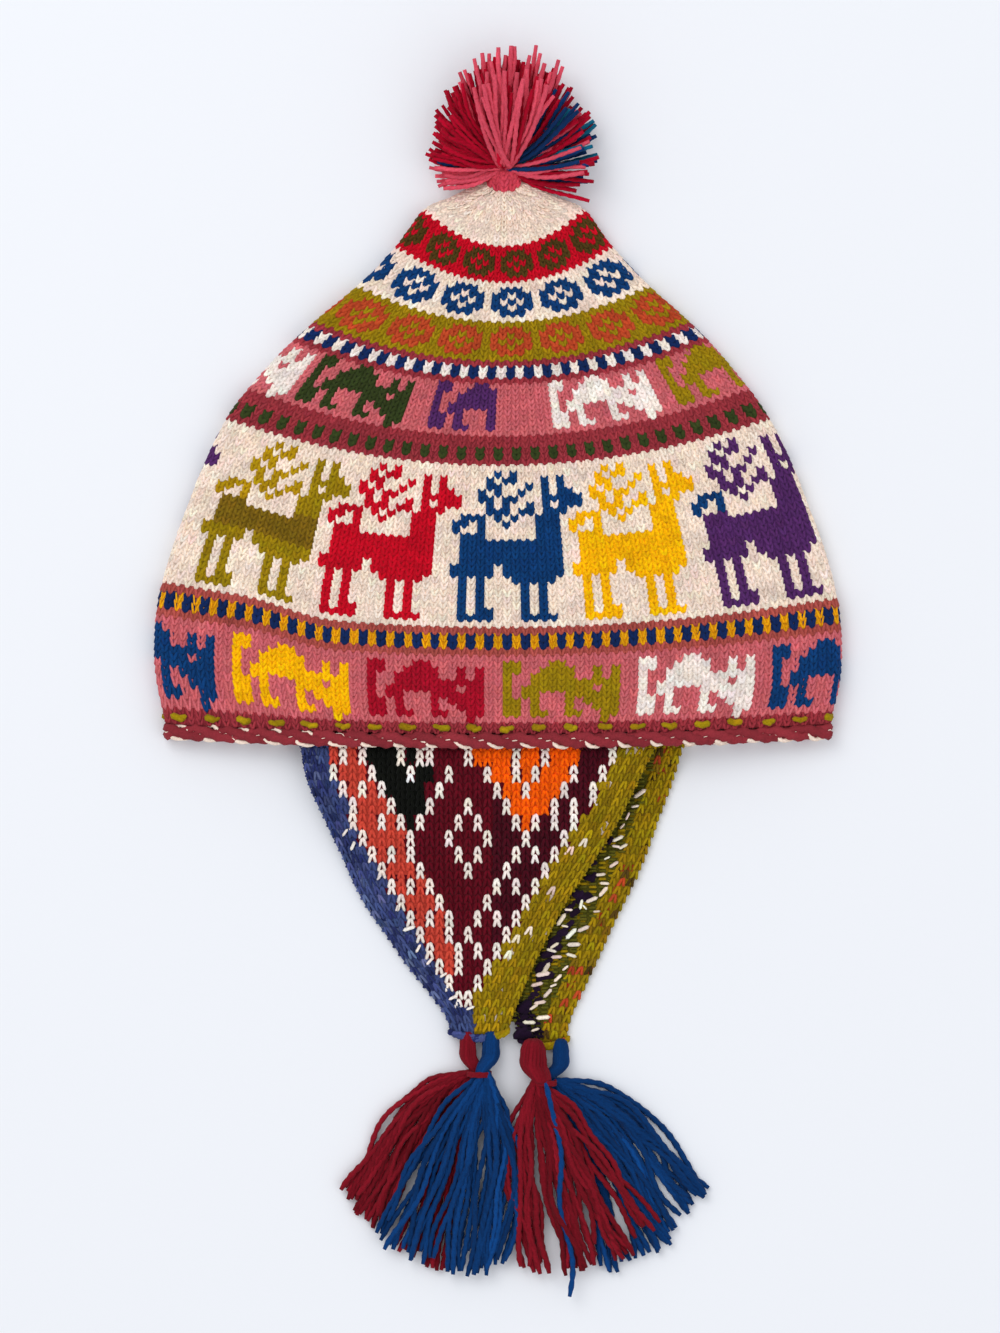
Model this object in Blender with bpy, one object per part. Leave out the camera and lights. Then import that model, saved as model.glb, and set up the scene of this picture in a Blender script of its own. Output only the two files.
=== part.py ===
# A knitted chullo hat, lying flat: crown, scalloped rim edging, two ear flaps, two tassels, a pompom.
# Metres. +Z up from the surface that it lies on, +Y from the rim to the tip, +X to the right.
# The origin is on that surface, under the middle of the crown's back layer.

import math

import bpy
import bmesh
from mathutils import Vector

# Crown
crown_width = 0.270  # between the two folds, where it is widest
crown_height = 0.223  # lower edge of the knitting to the tip, up the middle
crown_thickness = 0.028  # both layers and the air between them, at the fullest place
crown_lean = 0.0024  # how far the tip leans to the right
lean_from = 0.45  # where up the crown the lean starts and over how much of it it grows, as shares
lean_over = 0.35
fold_radius = 0.005
roof_fullness = 1.2  # how flat the top of a course lies before it turns down to the folds
wall = 0.003  # stranded knitting
rest_above_rim = 0.090  # from the lower edge of the knitting up to the origin
rib_depth = 0.0016  # gathers of the cap
clearance = 0.0003  # between pieces that touch
weld_distance = 0.00002

# Rim edging
edging_height = 0.0060
edging_thickness = 0.0044
edging_proud = 0.0008  # how far it stands out from the crown
scallop_pitch = 0.0126
scallop_depth = 0.0012

# Ear flaps
flap_width = 0.140
flap_length = 0.112
flap_thickness = 0.003
flap_tuck = 0.0035  # how far the upper edge goes up behind the edging
flap_edge_round = 0.0006
near_flap_drop = 0.060  # length over which the front flap comes down from the rim
far_flap_drop = 0.014
flap_bow_over = 0.5  # share of the flap below which its rows no longer bow with the rim
near_flap_low_edge = 0.15  # how high the front flap's left edge lies, as a share of its place on the far flap
near_flap_climb_from = 0.02  # where the front flap climbs onto the far one, as shares across it
near_flap_climb_over = 0.09

# Tassels
head_length = 0.0137
head_width = 0.0080
neck_width = 0.0040
neck_spacing = 0.0044  # between the middles of the two necks inside the tie
tie_width = 0.0030
tie_thickness = 0.0013
strand_length = 0.082
lock_width = 0.0115
lock_thickness = 0.0046
neck_spread = 0.8  # share of the neck that the locks start from
lock_leave = 0.50  # how far below the middle of the tie a lock starts, in tie widths
lock_leave_sideways = 0.75  # how much further one that leaves sideways starts
lock_settle = 0.3  # share of a lock over which it comes down from the neck
lock_fall_over = 0.5
neck_above = 0.4  # how far the necks reach above and below the middle of the tie, in tie widths
neck_below = 1.2
neck_aside = 0.17  # how the two necks lie beside and on each other, as shares of neck_spacing
neck_over = 0.47
head_pull_from = 0.55  # share of the head where it starts to draw in to the neck

# Pompom
pompom_reach = 0.047  # from the tip of the crown to the longest strand
pompom_lock = 0.0150
pompom_core = 0.0120

# Courses of the crown. middle and fold are shares of crown_height, half of half the crown_width,
# low and high (its underside and its top) of crown_thickness.
crown_courses = [
    dict(middle=0.000, fold=0.016, half=0.968, low=0.00, high=0.71),
    dict(middle=0.076, fold=0.111, half=1.000, low=0.00, high=0.80),
    dict(middle=0.187, fold=0.241, half=0.988, low=0.00, high=0.90),
    dict(middle=0.327, fold=0.401, half=0.905, low=0.00, high=0.98),
    dict(middle=0.470, fold=0.556, half=0.790, low=0.00, high=1.00),
    dict(middle=0.567, fold=0.653, half=0.666, low=0.00, high=0.94),
    dict(middle=0.653, fold=0.727, half=0.545, low=0.00, high=0.86),
    dict(middle=0.722, fold=0.790, half=0.424, low=0.00, high=0.79),
    dict(middle=0.792, fold=0.859, half=0.315, low=0.00, high=0.73),
    dict(middle=0.856, fold=0.924, half=0.234, low=0.00, high=0.66),
    dict(middle=0.894, fold=0.942, half=0.166, low=0.00, high=0.58),
    dict(middle=0.930, fold=0.960, half=0.108, low=0.00, high=0.50),
    dict(middle=0.949, fold=0.970, half=0.063, low=0.01, high=0.46),
    dict(middle=0.970, fold=0.982, half=0.060, low=0.05, high=0.43),
    dict(middle=0.990, fold=0.994, half=0.046, low=0.09, high=0.39),
    dict(middle=1.000, fold=1.000, half=0.020, low=0.16, high=0.30),
]
crown_rings = 26
ring_crowding = 1.35  # above 1, the rings stand closer together towards the tip
inner_last = 0.930  # the course where the hollow ends, a share of crown_height
inner_rings = 16
top_segments = 22
bottom_segments = 7
fold_segments = 3
cap_from = 0.870  # where the gathers start and where they meet the tip, shares of crown_height
cap_to = 0.965
cap_fade = 0.020
least_radius = 0.0004

# Dents of the front layer. across and wide are shares of the half width there, up and tall of
# crown_height, deep of crown_thickness.
crown_dents = [
    dict(across=0.10, up=0.830, wide=0.16, tall=0.045, deep=0.09),
    dict(across=-0.42, up=0.885, wide=0.20, tall=0.030, deep=0.07),
    dict(across=0.42, up=0.420, wide=0.30, tall=0.140, deep=0.05),
    dict(across=-0.50, up=0.180, wide=0.26, tall=0.120, deep=0.06),
    dict(across=0.05, up=0.060, wide=0.22, tall=0.080, deep=0.05),
]

# Outlines of the flaps. down is a share of flap_length, left and right of flap_width, from the
# flap's own axis, which is through the middle of its tip.
near_flap_axis = -0.025  # a share of crown_width
near_flap_rows = [
    dict(down=0.00, left=-0.508, right=0.492),
    dict(down=0.12, left=-0.489, right=0.444),
    dict(down=0.25, left=-0.442, right=0.392),
    dict(down=0.37, left=-0.396, right=0.340),
    dict(down=0.53, left=-0.337, right=0.275),
    dict(down=0.65, left=-0.272, right=0.228),
    dict(down=0.76, left=-0.211, right=0.183),
    dict(down=0.86, left=-0.147, right=0.145),
    dict(down=0.94, left=-0.102, right=0.112),
    dict(down=1.00, left=-0.084, right=0.087),
]
far_flap_axis = 0.068
far_flap_rows = [
    dict(down=0.00, left=-0.590, right=0.392),
    dict(down=0.13, left=-0.548, right=0.362),
    dict(down=0.29, left=-0.494, right=0.314),
    dict(down=0.43, left=-0.441, right=0.272),
    dict(down=0.61, left=-0.351, right=0.202),
    dict(down=0.76, left=-0.250, right=0.148),
    dict(down=0.88, left=-0.150, right=0.103),
    dict(down=0.96, left=-0.092, right=0.075),
    dict(down=1.03, left=-0.067, right=0.064),
]
flap_points = 10  # across one flap

# Locks of the tassels. angle in degrees from straight down, + to the right; reach is a share of
# strand_length, bow of the reach; fall is where the lock comes down to the surface, 1 if it stays
# up on the locks under it.
near_red_locks = [
    dict(angle=-44, reach=0.92, bow=-0.12, fall=0.10),
    dict(angle=-33, reach=0.90, bow=-0.07, fall=0.10),
    dict(angle=-21, reach=0.93, bow=-0.04, fall=0.10),
    dict(angle=-10, reach=0.98, bow=0.02, fall=0.10),
]
near_blue_locks = [
    dict(angle=-34, reach=0.95, bow=-0.03, fall=1.00),
    dict(angle=-24, reach=0.99, bow=-0.02, fall=1.00),
    dict(angle=-14, reach=1.00, bow=0.01, fall=1.00),
    dict(angle=-5, reach=0.95, bow=0.03, fall=1.00),
    dict(angle=6, reach=0.97, bow=0.05, fall=0.50),
]
far_red_locks = [
    dict(angle=-6, reach=0.89, bow=-0.05, fall=0.35),
    dict(angle=2, reach=0.95, bow=-0.02, fall=0.45),
    dict(angle=11, reach=0.94, bow=0.00, fall=1.00),
    dict(angle=20, reach=0.95, bow=0.01, fall=1.00),
    dict(angle=29, reach=0.93, bow=0.02, fall=1.00),
    dict(angle=38, reach=0.89, bow=0.03, fall=1.00),
]
far_blue_locks = [
    dict(angle=56, reach=0.94, bow=0.10, fall=0.10),
    dict(angle=46, reach=0.94, bow=0.05, fall=0.10),
    dict(angle=35, reach=0.96, bow=0.02, fall=0.10),
    dict(angle=25, reach=1.00, bow=0.00, fall=0.10),
]
# Along a lock: its width and thickness as shares of lock_width and lock_thickness.
lock_profile = [
    dict(along=0.00, wide=0.28, thick=0.62),
    dict(along=0.16, wide=0.58, thick=0.90),
    dict(along=0.38, wide=0.86, thick=1.00),
    dict(along=0.62, wide=1.00, thick=1.00),
    dict(along=0.86, wide=0.92, thick=0.80),
    dict(along=1.00, wide=0.50, thick=0.45),
]
lock_sides = 6
lock_alternate = 0.93  # every other lock of a bundle is this share as thick, so that their ridges cross

# Tassels: which flap, how far the two heads stand from its axis (shares of head_width), how much
# bigger than head_width and head_length the red head is, and which bundle lies on top.
tassels = [
    dict(name="near", red_across=-0.57, blue_across=0.57, red_size=0.95, blue_size=1.00, red_over=False),
    dict(name="far", red_across=-0.55, blue_across=0.82, red_size=1.42, blue_size=0.95, red_over=True),
]
head_profile = [
    dict(along=0.00, wide=0.30),
    dict(along=0.14, wide=0.72),
    dict(along=0.36, wide=1.00),
    dict(along=0.60, wide=0.92),
    dict(along=0.80, wide=0.60),
]

# Pompom: its core and its locks, wide as a share of pompom_core and of pompom_lock.
core_profile = [
    dict(along=0.00, wide=0.55),
    dict(along=0.25, wide=0.90),
    dict(along=0.60, wide=1.00),
    dict(along=1.00, wide=0.60),
]
pompom_profile = [
    dict(along=0.00, wide=0.35),
    dict(along=0.30, wide=0.62),
    dict(along=0.65, wide=0.92),
    dict(along=0.92, wide=1.00),
    dict(along=1.00, wide=0.62),
]

# Pompom locks. turn in degrees from +X towards +Y, lift in degrees above the surface; reach is a
# share of pompom_reach.
pompom_locks = [
    dict(turn=-13, lift=7, reach=0.71),
    dict(turn=13, lift=9, reach=0.74),
    dict(turn=37, lift=6, reach=0.86),
    dict(turn=64, lift=8, reach=0.90),
    dict(turn=90, lift=6, reach=0.94),
    dict(turn=116, lift=8, reach=0.92),
    dict(turn=143, lift=5, reach=0.84),
    dict(turn=169, lift=11, reach=0.72),
    dict(turn=194, lift=6, reach=0.68),
    dict(turn=20, lift=43, reach=0.76),
    dict(turn=50, lift=41, reach=0.84),
    dict(turn=80, lift=38, reach=0.92),
    dict(turn=104, lift=38, reach=0.95),
    dict(turn=130, lift=40, reach=0.86),
    dict(turn=158, lift=42, reach=0.76),
    dict(turn=66, lift=64, reach=0.79),
    dict(turn=115, lift=68, reach=0.77),
]

colours = {
    "crown": (0.80, 0.70, 0.60, 1.0),
    "edging": (0.39, 0.035, 0.05, 1.0),
    "near_flap": (0.10, 0.005, 0.016, 1.0),
    "far_flap": (0.33, 0.23, 0.02, 1.0),
    "red": (0.30, 0.008, 0.016, 1.0),
    "blue": (0.008, 0.05, 0.16, 1.0),
    "pompom": (0.69, 0.10, 0.16, 1.0),
}
wool_roughness = 0.9


def clear_scene():
    for thing in list(bpy.data.objects):
        bpy.data.objects.remove(thing, do_unlink=True)


def new_collection(name):
    collection = bpy.data.collections.new(name)
    bpy.context.scene.collection.children.link(collection)
    return collection


def wool(name):
    material = bpy.data.materials.new(name + "_wool")
    material.use_nodes = True
    shader = material.node_tree.nodes["Principled BSDF"]
    shader.inputs["Base Color"].default_value = colours[name]
    shader.inputs["Roughness"].default_value = wool_roughness
    shader.inputs["Metallic"].default_value = 0.0
    return material


def ease(share):
    share = min(1.0, max(0.0, share))
    return share * share * (3.0 - 2.0 * share)


def read_table(rows, key, column, at):
    """Value of a column at a place between the rows, on a smooth curve through them."""
    last = len(rows) - 1
    i = 0
    while i < last - 1 and rows[i + 1][key] < at:
        i += 1

    def slope(j):
        before, after = rows[max(0, j - 1)], rows[min(last, j + 1)]
        return (after[column] - before[column]) / (after[key] - before[key])

    span = rows[i + 1][key] - rows[i][key]
    t = min(1.0, max(0.0, (at - rows[i][key]) / span))
    start, end = rows[i][column], rows[i + 1][column]
    flat = start == end
    start_slope = 0.0 if flat else slope(i) * span
    end_slope = 0.0 if flat else slope(i + 1) * span
    return (
        (2 * t**3 - 3 * t**2 + 1) * start
        + (t**3 - 2 * t**2 + t) * start_slope
        + (3 * t**2 - 2 * t**3) * end
        + (t**3 - t**2) * end_slope
    )


def loft(name, rings, material, collection, closed=False):
    """One closed body through rings of points; its ends are fans, or it closes on itself."""
    mesh = bmesh.new()
    loops = [[mesh.verts.new(point) for point in ring] for ring in rings]
    pairs = list(zip(loops, loops[1:]))
    if closed:
        pairs.append((loops[-1], loops[0]))
    for lower, upper in pairs:
        for i in range(len(lower)):
            j = (i + 1) % len(lower)
            mesh.faces.new((lower[i], lower[j], upper[j], upper[i]))
    if not closed:
        for loop in (loops[0], loops[-1]):
            middle = mesh.verts.new(sum((v.co for v in loop), Vector()) / len(loop))
            for i in range(len(loop)):
                mesh.faces.new((loop[i], loop[(i + 1) % len(loop)], middle))
    bmesh.ops.recalc_face_normals(mesh, faces=mesh.faces)
    return finish(name, mesh, material, collection)


def finish(name, mesh, material, collection):
    data = bpy.data.meshes.new(name)
    mesh.to_mesh(data)
    mesh.free()
    data.shade_smooth()
    data.set_sharp_from_angle(angle=math.radians(50))
    data.materials.append(material)
    piece = bpy.data.objects.new(name, data)
    collection.objects.link(piece)
    return piece


def fuse(piece, others):
    """One boolean union of a piece with all the others, which are removed."""
    group = new_collection("fused")
    for other in others:
        group.objects.link(other)
    union = piece.modifiers.new("fuse", "BOOLEAN")
    union.operation = "UNION"
    union.solver = "EXACT"
    union.operand_type = "COLLECTION"
    union.collection = group
    bpy.context.view_layer.update()
    evaluated = piece.evaluated_get(bpy.context.evaluated_depsgraph_get())
    fused = bpy.data.meshes.new_from_object(evaluated)
    piece.modifiers.remove(union)
    weld(fused)
    piece.data = fused
    for other in others:
        bpy.data.objects.remove(other, do_unlink=True)
    bpy.data.collections.remove(group)
    return piece


def weld(data):
    """Closes the slivers that a union leaves."""
    mesh = bmesh.new()
    mesh.from_mesh(data)
    bmesh.ops.triangulate(mesh, faces=mesh.faces)
    bmesh.ops.remove_doubles(mesh, verts=mesh.verts, dist=weld_distance)
    bmesh.ops.dissolve_degenerate(mesh, edges=mesh.edges, dist=weld_distance / 10)
    mesh.to_mesh(data)
    mesh.free()


# The crown's surface: every piece that follows the rim reads it from here


def crown_section(middle):
    """Half width, underside, top and fold rise of the course at a share of the height."""
    at = dict(
        half=read_table(crown_courses, "middle", "half", middle) * crown_width / 2,
        low=read_table(crown_courses, "middle", "low", middle) * crown_thickness,
        high=read_table(crown_courses, "middle", "high", middle) * crown_thickness,
        fold=read_table(crown_courses, "middle", "fold", middle) * crown_height,
    )
    at["lean"] = crown_lean * ease((middle - lean_from) / lean_over)
    return at


def roof(half, low, high, radius, x):
    """Top of a section at x, inside its folds."""
    t = min(1.0, abs(x) / (half - radius))
    shoulder = low + 2 * radius
    return shoulder + (high - shoulder) * (1 - t * t) ** roof_fullness


def dent(middle, share):
    depth = 0.0
    for row in crown_dents:
        away = ((share - row["across"]) / row["wide"]) ** 2 + ((middle - row["up"]) / row["tall"]) ** 2
        depth += row["deep"] * crown_thickness * math.exp(-away)
    return depth


def gather(middle, i):
    """Ribs of the cap: every other point of the front layer sinks."""
    swell = ease((middle - cap_from) / cap_fade) * ease((cap_to - middle) / cap_fade)
    return rib_depth * swell * (i % 2)


def course_ring(middle, inset, height_shift=0.0, proud=0.0, dents=True):
    """Points once round the course, inset from its outside, right fold first, over the top."""
    at = crown_section(middle)
    half = at["half"] + proud - inset
    low = at["low"] + inset
    high = at["high"] + proud - inset
    room = min(fold_radius, (at["high"] - at["low"]) / 2, at["half"] * 0.9)
    radius = max(least_radius, room - inset)
    flat = half - radius
    points = []
    for i in range(fold_segments):
        turn = math.pi / 2 * i / fold_segments
        points.append((flat + radius * math.cos(turn), low + radius + radius * math.sin(turn)))
    for i in range(top_segments + 1):
        x = flat * math.cos(math.pi * i / top_segments)
        z = roof(half, low, high, radius, x)
        if dents:
            z -= (dent(middle, x / at["half"]) + gather(middle, i)) * (high - low) / crown_thickness
        points.append((x, z))
    for i in range(1, 2 * fold_segments):
        turn = math.pi / 2 * (1 + i / fold_segments)
        points.append((-flat + radius * math.cos(turn), low + radius + radius * math.sin(turn)))
    for i in range(bottom_segments + 1):
        points.append((-flat + 2 * flat * i / bottom_segments, low))
    for i in range(1, fold_segments):
        turn = -math.pi / 2 * (1 - i / fold_segments)
        points.append((flat + radius * math.cos(turn), low + radius + radius * math.sin(turn)))
    return [place(middle, at, x, z, half, height_shift) for x, z in points]


def place(middle, at, x, z, half, height_shift):
    """Moves a section's point to its course, which bows down between the folds."""
    bow = (at["fold"] - middle * crown_height) * (x / half) ** 2
    y = middle * crown_height + bow - rest_above_rim + height_shift
    return Vector((x + at["lean"], y, z))


def make_crown(collection):
    outer = [course_ring(1 - (1 - i / crown_rings) ** ring_crowding, 0.0) for i in range(crown_rings + 1)]
    inner = [course_ring(inner_last * i / inner_rings, wall) for i in range(inner_rings + 1)]
    return loft("crown", inner[::-1] + outer, wool("crown"), collection)


def make_edging(collection):
    """A tube round the rim, just under the knitting, whose lower side waves."""
    route = course_ring(0.0, edging_thickness / 2, proud=edging_proud, dents=False)
    lengths = [0.0]
    for i, point in enumerate(route):
        after = route[(i + 1) % len(route)]
        lengths.append(lengths[-1] + (after - point).length)
    scallops = round(lengths[-1] / scallop_pitch)
    steps = scallops * 4
    rings = []
    for step in range(steps):
        middle = along_loop(route, lengths, step / steps)
        ahead = along_loop(route, lengths, (step + 0.5) / steps) - along_loop(route, lengths, (step - 0.5) / steps)
        outward = Vector((ahead.z, 0.0, -ahead.x)).normalized()
        wave = math.cos(2 * math.pi * step / 4)
        tall = edging_height / 2 + scallop_depth / 2 * wave
        centre = middle + Vector((0.0, -clearance - tall, 0.0))
        ring = []
        for i in range(6):
            turn = 2 * math.pi * (i + 0.5) / 6
            side = math.cos(turn) / math.cos(math.pi / 6) * edging_thickness / 2
            ring.append(centre + outward * side + Vector((0.0, math.sin(turn) * tall, 0.0)))
        rings.append(ring)
    return loft("rim_edging", rings, wool("edging"), collection, closed=True)


def along_loop(route, lengths, share):
    """Point at a share of the way round a closed route."""
    at = (share % 1.0) * lengths[-1]
    i = 0
    while lengths[i + 1] < at:
        i += 1
    part = (at - lengths[i]) / (lengths[i + 1] - lengths[i])
    return route[i].lerp(route[(i + 1) % len(route)], part)


def flap_top(x, front):
    """Underside of a flap where it is tucked behind the edging of its layer."""
    at = crown_section(0.0)
    if not front:
        return edging_thickness + clearance
    under = roof(at["half"], at["low"], at["high"], fold_radius, x)
    return under + edging_proud - edging_thickness - clearance - flap_thickness


def flap_point(rows, axis, down, share):
    """X and Y of a place on a flap, share of the way from its left edge to its right edge."""
    left = read_table(rows, "down", "left", max(0.0, down)) * flap_width
    right = read_table(rows, "down", "right", max(0.0, down)) * flap_width
    x = axis * crown_width + left + (right - left) * share
    at = crown_section(0.0)
    bow = at["fold"] * (x / at["half"]) ** 2 * (1 - ease(down / flap_bow_over))
    rim = -rest_above_rim - clearance - edging_height
    return x, rim + bow - down * flap_length


def make_flap(name, rows, axis, front, collection):
    """A knitted sheet from behind the edging down to the surface; the front one lies on the far one."""
    drop = near_flap_drop if front else far_flap_drop
    downs = [-flap_tuck / flap_length] + [row["down"] for row in rows]
    first_steps = [drop / flap_length * share for share in (0.3, 0.6)]
    downs = sorted(set(downs + first_steps))
    rings = []
    for down in downs:
        fall = ease(down * flap_length / drop)
        under, over = [], []
        for i in range(flap_points):
            share = i / (flap_points - 1)
            x, y = flap_point(rows, axis, down, share)
            rest = 0.0
            if front:
                climb = ease((share - near_flap_climb_from) / near_flap_climb_over)
                rest = (flap_thickness + clearance) * (near_flap_low_edge + (1 - near_flap_low_edge) * climb)
            z = flap_top(x, front) * (1 - fall) + rest * fall
            edge = flap_edge_round * (1 if i == 0 else -1 if i == flap_points - 1 else 0)
            under.append(Vector((x, y, z)))
            over.append(Vector((x + edge, y, z + flap_thickness)))
        rings.append(under + over[::-1])
    return loft(name, rings, wool(name), collection)


def ellipse(centre, along, wide, thick, sides):
    """Ring across a direction, its wide axis level."""
    level = Vector((along.y, -along.x, 0.0)).normalized()
    up = along.normalized().cross(level)
    if up.z < 0:
        up = -up
    ring = []
    for i in range(sides):
        turn = 2 * math.pi * (i + 0.5) / sides
        ring.append(centre + level * (wide / 2 * math.cos(turn)) + up * (thick / 2 * math.sin(turn)))
    return ring


def make_lock(name, row, spread, lock_thick, neck, floor_level, material, collection):
    """A tapered lock of strands from the neck out over the surface."""
    turn = math.radians(row["angle"])
    ahead = Vector((math.sin(turn), -math.cos(turn), 0.0))
    beside = Vector((-ahead.y, ahead.x, 0.0))
    reach = row["reach"] * strand_length
    leave = tie_width * (lock_leave + lock_leave_sideways * math.sin(turn) ** 2)
    start = neck + Vector((spread * neck_width * neck_spread / 2, -leave, 0.0))
    low = lock_thick / 2
    points = []
    for part in lock_profile:
        along = part["along"]
        fall = ease((along - row["fall"]) / lock_fall_over) if row["fall"] < 1 else 0.0
        resting = max(low * part["thick"], floor_level)
        z = neck.z + (resting - neck.z) * ease(along / lock_settle)
        z = z * (1 - fall) + low * part["thick"] * fall
        side = -row["bow"] * reach * math.sin(math.pi * along)
        point = start + ahead * (reach * along) + beside * side
        points.append(Vector((point.x, point.y, z)))
    rings = []
    for i, part in enumerate(lock_profile):
        before, after = points[max(0, i - 1)], points[min(len(points) - 1, i + 1)]
        wide = part["wide"] * lock_width
        rings.append(ellipse(points[i], after - before, wide, part["thick"] * lock_thick, lock_sides))
    return loft(name, rings, material, collection)


def make_bundle(name, tip, across, size, neck, locks, floor_level, material, collection):
    """Head, neck and locks of one yarn bundle, fused."""
    width = head_width * size
    length = neck.y - (tip.y - clearance)
    top = Vector((tip.x + across * head_width, tip.y - clearance, width / 2))
    rings = []
    for part in head_profile:
        along = part["along"]
        centre = top.lerp(Vector((neck.x, top.y + length, neck.z)), along)
        pull = ease((along - head_pull_from) / (1 - head_pull_from))
        centre.x = top.x + (neck.x - top.x) * pull
        centre.z = top.z + (neck.z - top.z) * pull
        rings.append(ellipse(centre, Vector((0.0, -1.0, 0.0)), part["wide"] * width, part["wide"] * width, 8))
    for step in (neck_above, -neck_below):
        centre = neck + Vector((0.0, tie_width * step, 0.0))
        rings.append(ellipse(centre, Vector((0.0, -1.0, 0.0)), neck_width, neck_width, 8))
    body = loft(name, rings, material, collection)
    parts = []
    for i, row in enumerate(locks):
        spread = i / (len(locks) - 1) - 0.5
        if locks[0]["angle"] > locks[-1]["angle"]:
            spread = -spread
        thick = lock_thickness * (lock_alternate if i % 2 else 1.0)
        parts.append(make_lock(name + "_lock", row, spread, thick, neck, floor_level, material, collection))
    return fuse(body, parts)


def make_tie(name, centre, material, collection):
    """The wrap round both necks: a short band, round in section."""
    inner = neck_spacing / 2 + neck_width / 2 + clearance
    outer = inner + tie_thickness
    rings = []
    for step in range(20):
        turn = 2 * math.pi * step / 20
        out = Vector((math.cos(turn), 0.0, math.sin(turn)))
        half = tie_width / 2
        section = [(inner, -half), (outer, -half * 0.6), (outer, half * 0.6), (inner, half)]
        rings.append([centre + out * away + Vector((0.0, side, 0.0)) for away, side in section])
    return loft(name, rings, material, collection, closed=True)


def make_tassel(row, rows, axis, red_locks, blue_locks, collection):
    red, blue = wool("red"), wool("blue")
    last = rows[-1]
    x = axis * crown_width + (last["left"] + last["right"]) / 2 * flap_width
    tip = Vector((x, flap_point(rows, axis, last["down"], 0.5)[1], 0.0))
    outer = neck_spacing / 2 + neck_width / 2 + clearance + tie_thickness
    knot = Vector((tip.x, tip.y - clearance - head_length - tie_width / 2, outer + clearance))
    rise = Vector((neck_spacing * neck_aside, 0.0, neck_spacing * neck_over))
    if row["red_over"]:
        red_neck = knot + Vector((-rise.x, 0.0, rise.z))
        blue_neck = knot + Vector((rise.x, 0.0, -rise.z))
    else:
        red_neck = knot - rise
        blue_neck = knot + rise
    upper = lock_thickness * 1.5 + 4 * clearance
    red_level = upper if row["red_over"] else 0.0
    blue_level = 0.0 if row["red_over"] else upper
    name = row["name"] + "_tassel"
    make_bundle(
        name + "_red", tip, row["red_across"], row["red_size"], red_neck, red_locks, red_level, red, collection
    )
    make_bundle(
        name + "_blue", tip, row["blue_across"], row["blue_size"], blue_neck, blue_locks, blue_level, blue,
        collection,
    )
    make_tie(name + "_tie", knot, red, collection)


def make_pompom(collection):
    """Locks that fan out from the tip of the crown, over the surface and up."""
    material = wool("pompom")
    at = crown_section(1.0)
    tip = Vector((at["lean"], crown_height - rest_above_rim, (at["low"] + at["high"]) / 2))
    seat = tip + Vector((0.0, clearance, 0.0))
    heart = seat + Vector((0.0, pompom_core / 2, 0.0))
    core = []
    for part in core_profile:
        centre = seat + Vector((0.0, part["along"] * pompom_core, 0.0))
        wide = part["wide"] * pompom_core
        core.append(ellipse(centre, Vector((0.0, 1.0, 0.0)), wide, wide, 8))
    body = loft("pompom", core, material, collection)
    locks = []
    for row in pompom_locks:
        turn, lift = math.radians(row["turn"]), math.radians(row["lift"])
        ahead = Vector(
            (math.cos(turn) * math.cos(lift), math.sin(turn) * math.cos(lift), math.sin(lift))
        )
        reach = row["reach"] * pompom_reach
        rings = []
        for part in pompom_profile:
            centre = heart + ahead * (reach * part["along"])
            thick = part["wide"] * pompom_lock
            centre.z = max(centre.z, thick / 2 * math.cos(lift))
            rings.append(ellipse(centre, ahead, thick, thick, 6))
        locks.append(loft("pompom_lock", rings, material, collection))
    return fuse(body, locks)


def main():
    clear_scene()
    hat = new_collection("chullo_hat")
    make_crown(hat)
    make_edging(hat)
    make_flap("near_flap", near_flap_rows, near_flap_axis, True, hat)
    make_flap("far_flap", far_flap_rows, far_flap_axis, False, hat)
    make_tassel(tassels[0], near_flap_rows, near_flap_axis, near_red_locks, near_blue_locks, hat)
    make_tassel(tassels[1], far_flap_rows, far_flap_axis, far_red_locks, far_blue_locks, hat)
    make_pompom(hat)


main()
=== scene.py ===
# A knitted chullo hat that lies flat: every stitch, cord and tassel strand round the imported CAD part.
# Metres, in the part's own frame: +Y from the rim to the tip, +Z up from the surface that it lies on.
import math

import bmesh
import bpy
import numpy as np
from mathutils import Matrix, Vector


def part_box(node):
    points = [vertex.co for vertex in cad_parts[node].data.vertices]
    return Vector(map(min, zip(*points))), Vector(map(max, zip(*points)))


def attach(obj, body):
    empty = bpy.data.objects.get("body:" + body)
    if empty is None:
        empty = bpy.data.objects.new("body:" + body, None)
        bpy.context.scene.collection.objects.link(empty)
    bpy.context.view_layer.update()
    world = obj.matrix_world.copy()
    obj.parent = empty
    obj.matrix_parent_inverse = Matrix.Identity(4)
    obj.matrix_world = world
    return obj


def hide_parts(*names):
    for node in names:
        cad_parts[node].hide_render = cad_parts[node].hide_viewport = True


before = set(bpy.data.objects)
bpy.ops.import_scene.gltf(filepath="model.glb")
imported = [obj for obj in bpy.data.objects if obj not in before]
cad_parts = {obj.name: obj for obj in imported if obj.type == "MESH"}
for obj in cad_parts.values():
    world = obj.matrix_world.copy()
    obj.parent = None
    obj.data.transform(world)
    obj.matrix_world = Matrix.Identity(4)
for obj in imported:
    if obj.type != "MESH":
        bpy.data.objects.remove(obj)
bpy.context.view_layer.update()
mm = 0.001
photoSize = (1000, 1333)  # pixels
photoPixel = 0.392 * mm  # on the hat
photoOrigin = (498.0, 503.4)  # pixel of the part's origin
chance = np.random.default_rng(11)


def linear(hexColour):
    channels = [int(hexColour[i : i + 2], 16) / 255 for i in (1, 3, 5)]
    return [c / 12.92 if c <= 0.04045 else ((c + 0.055) / 1.055) ** 2.4 for c in channels]


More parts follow.
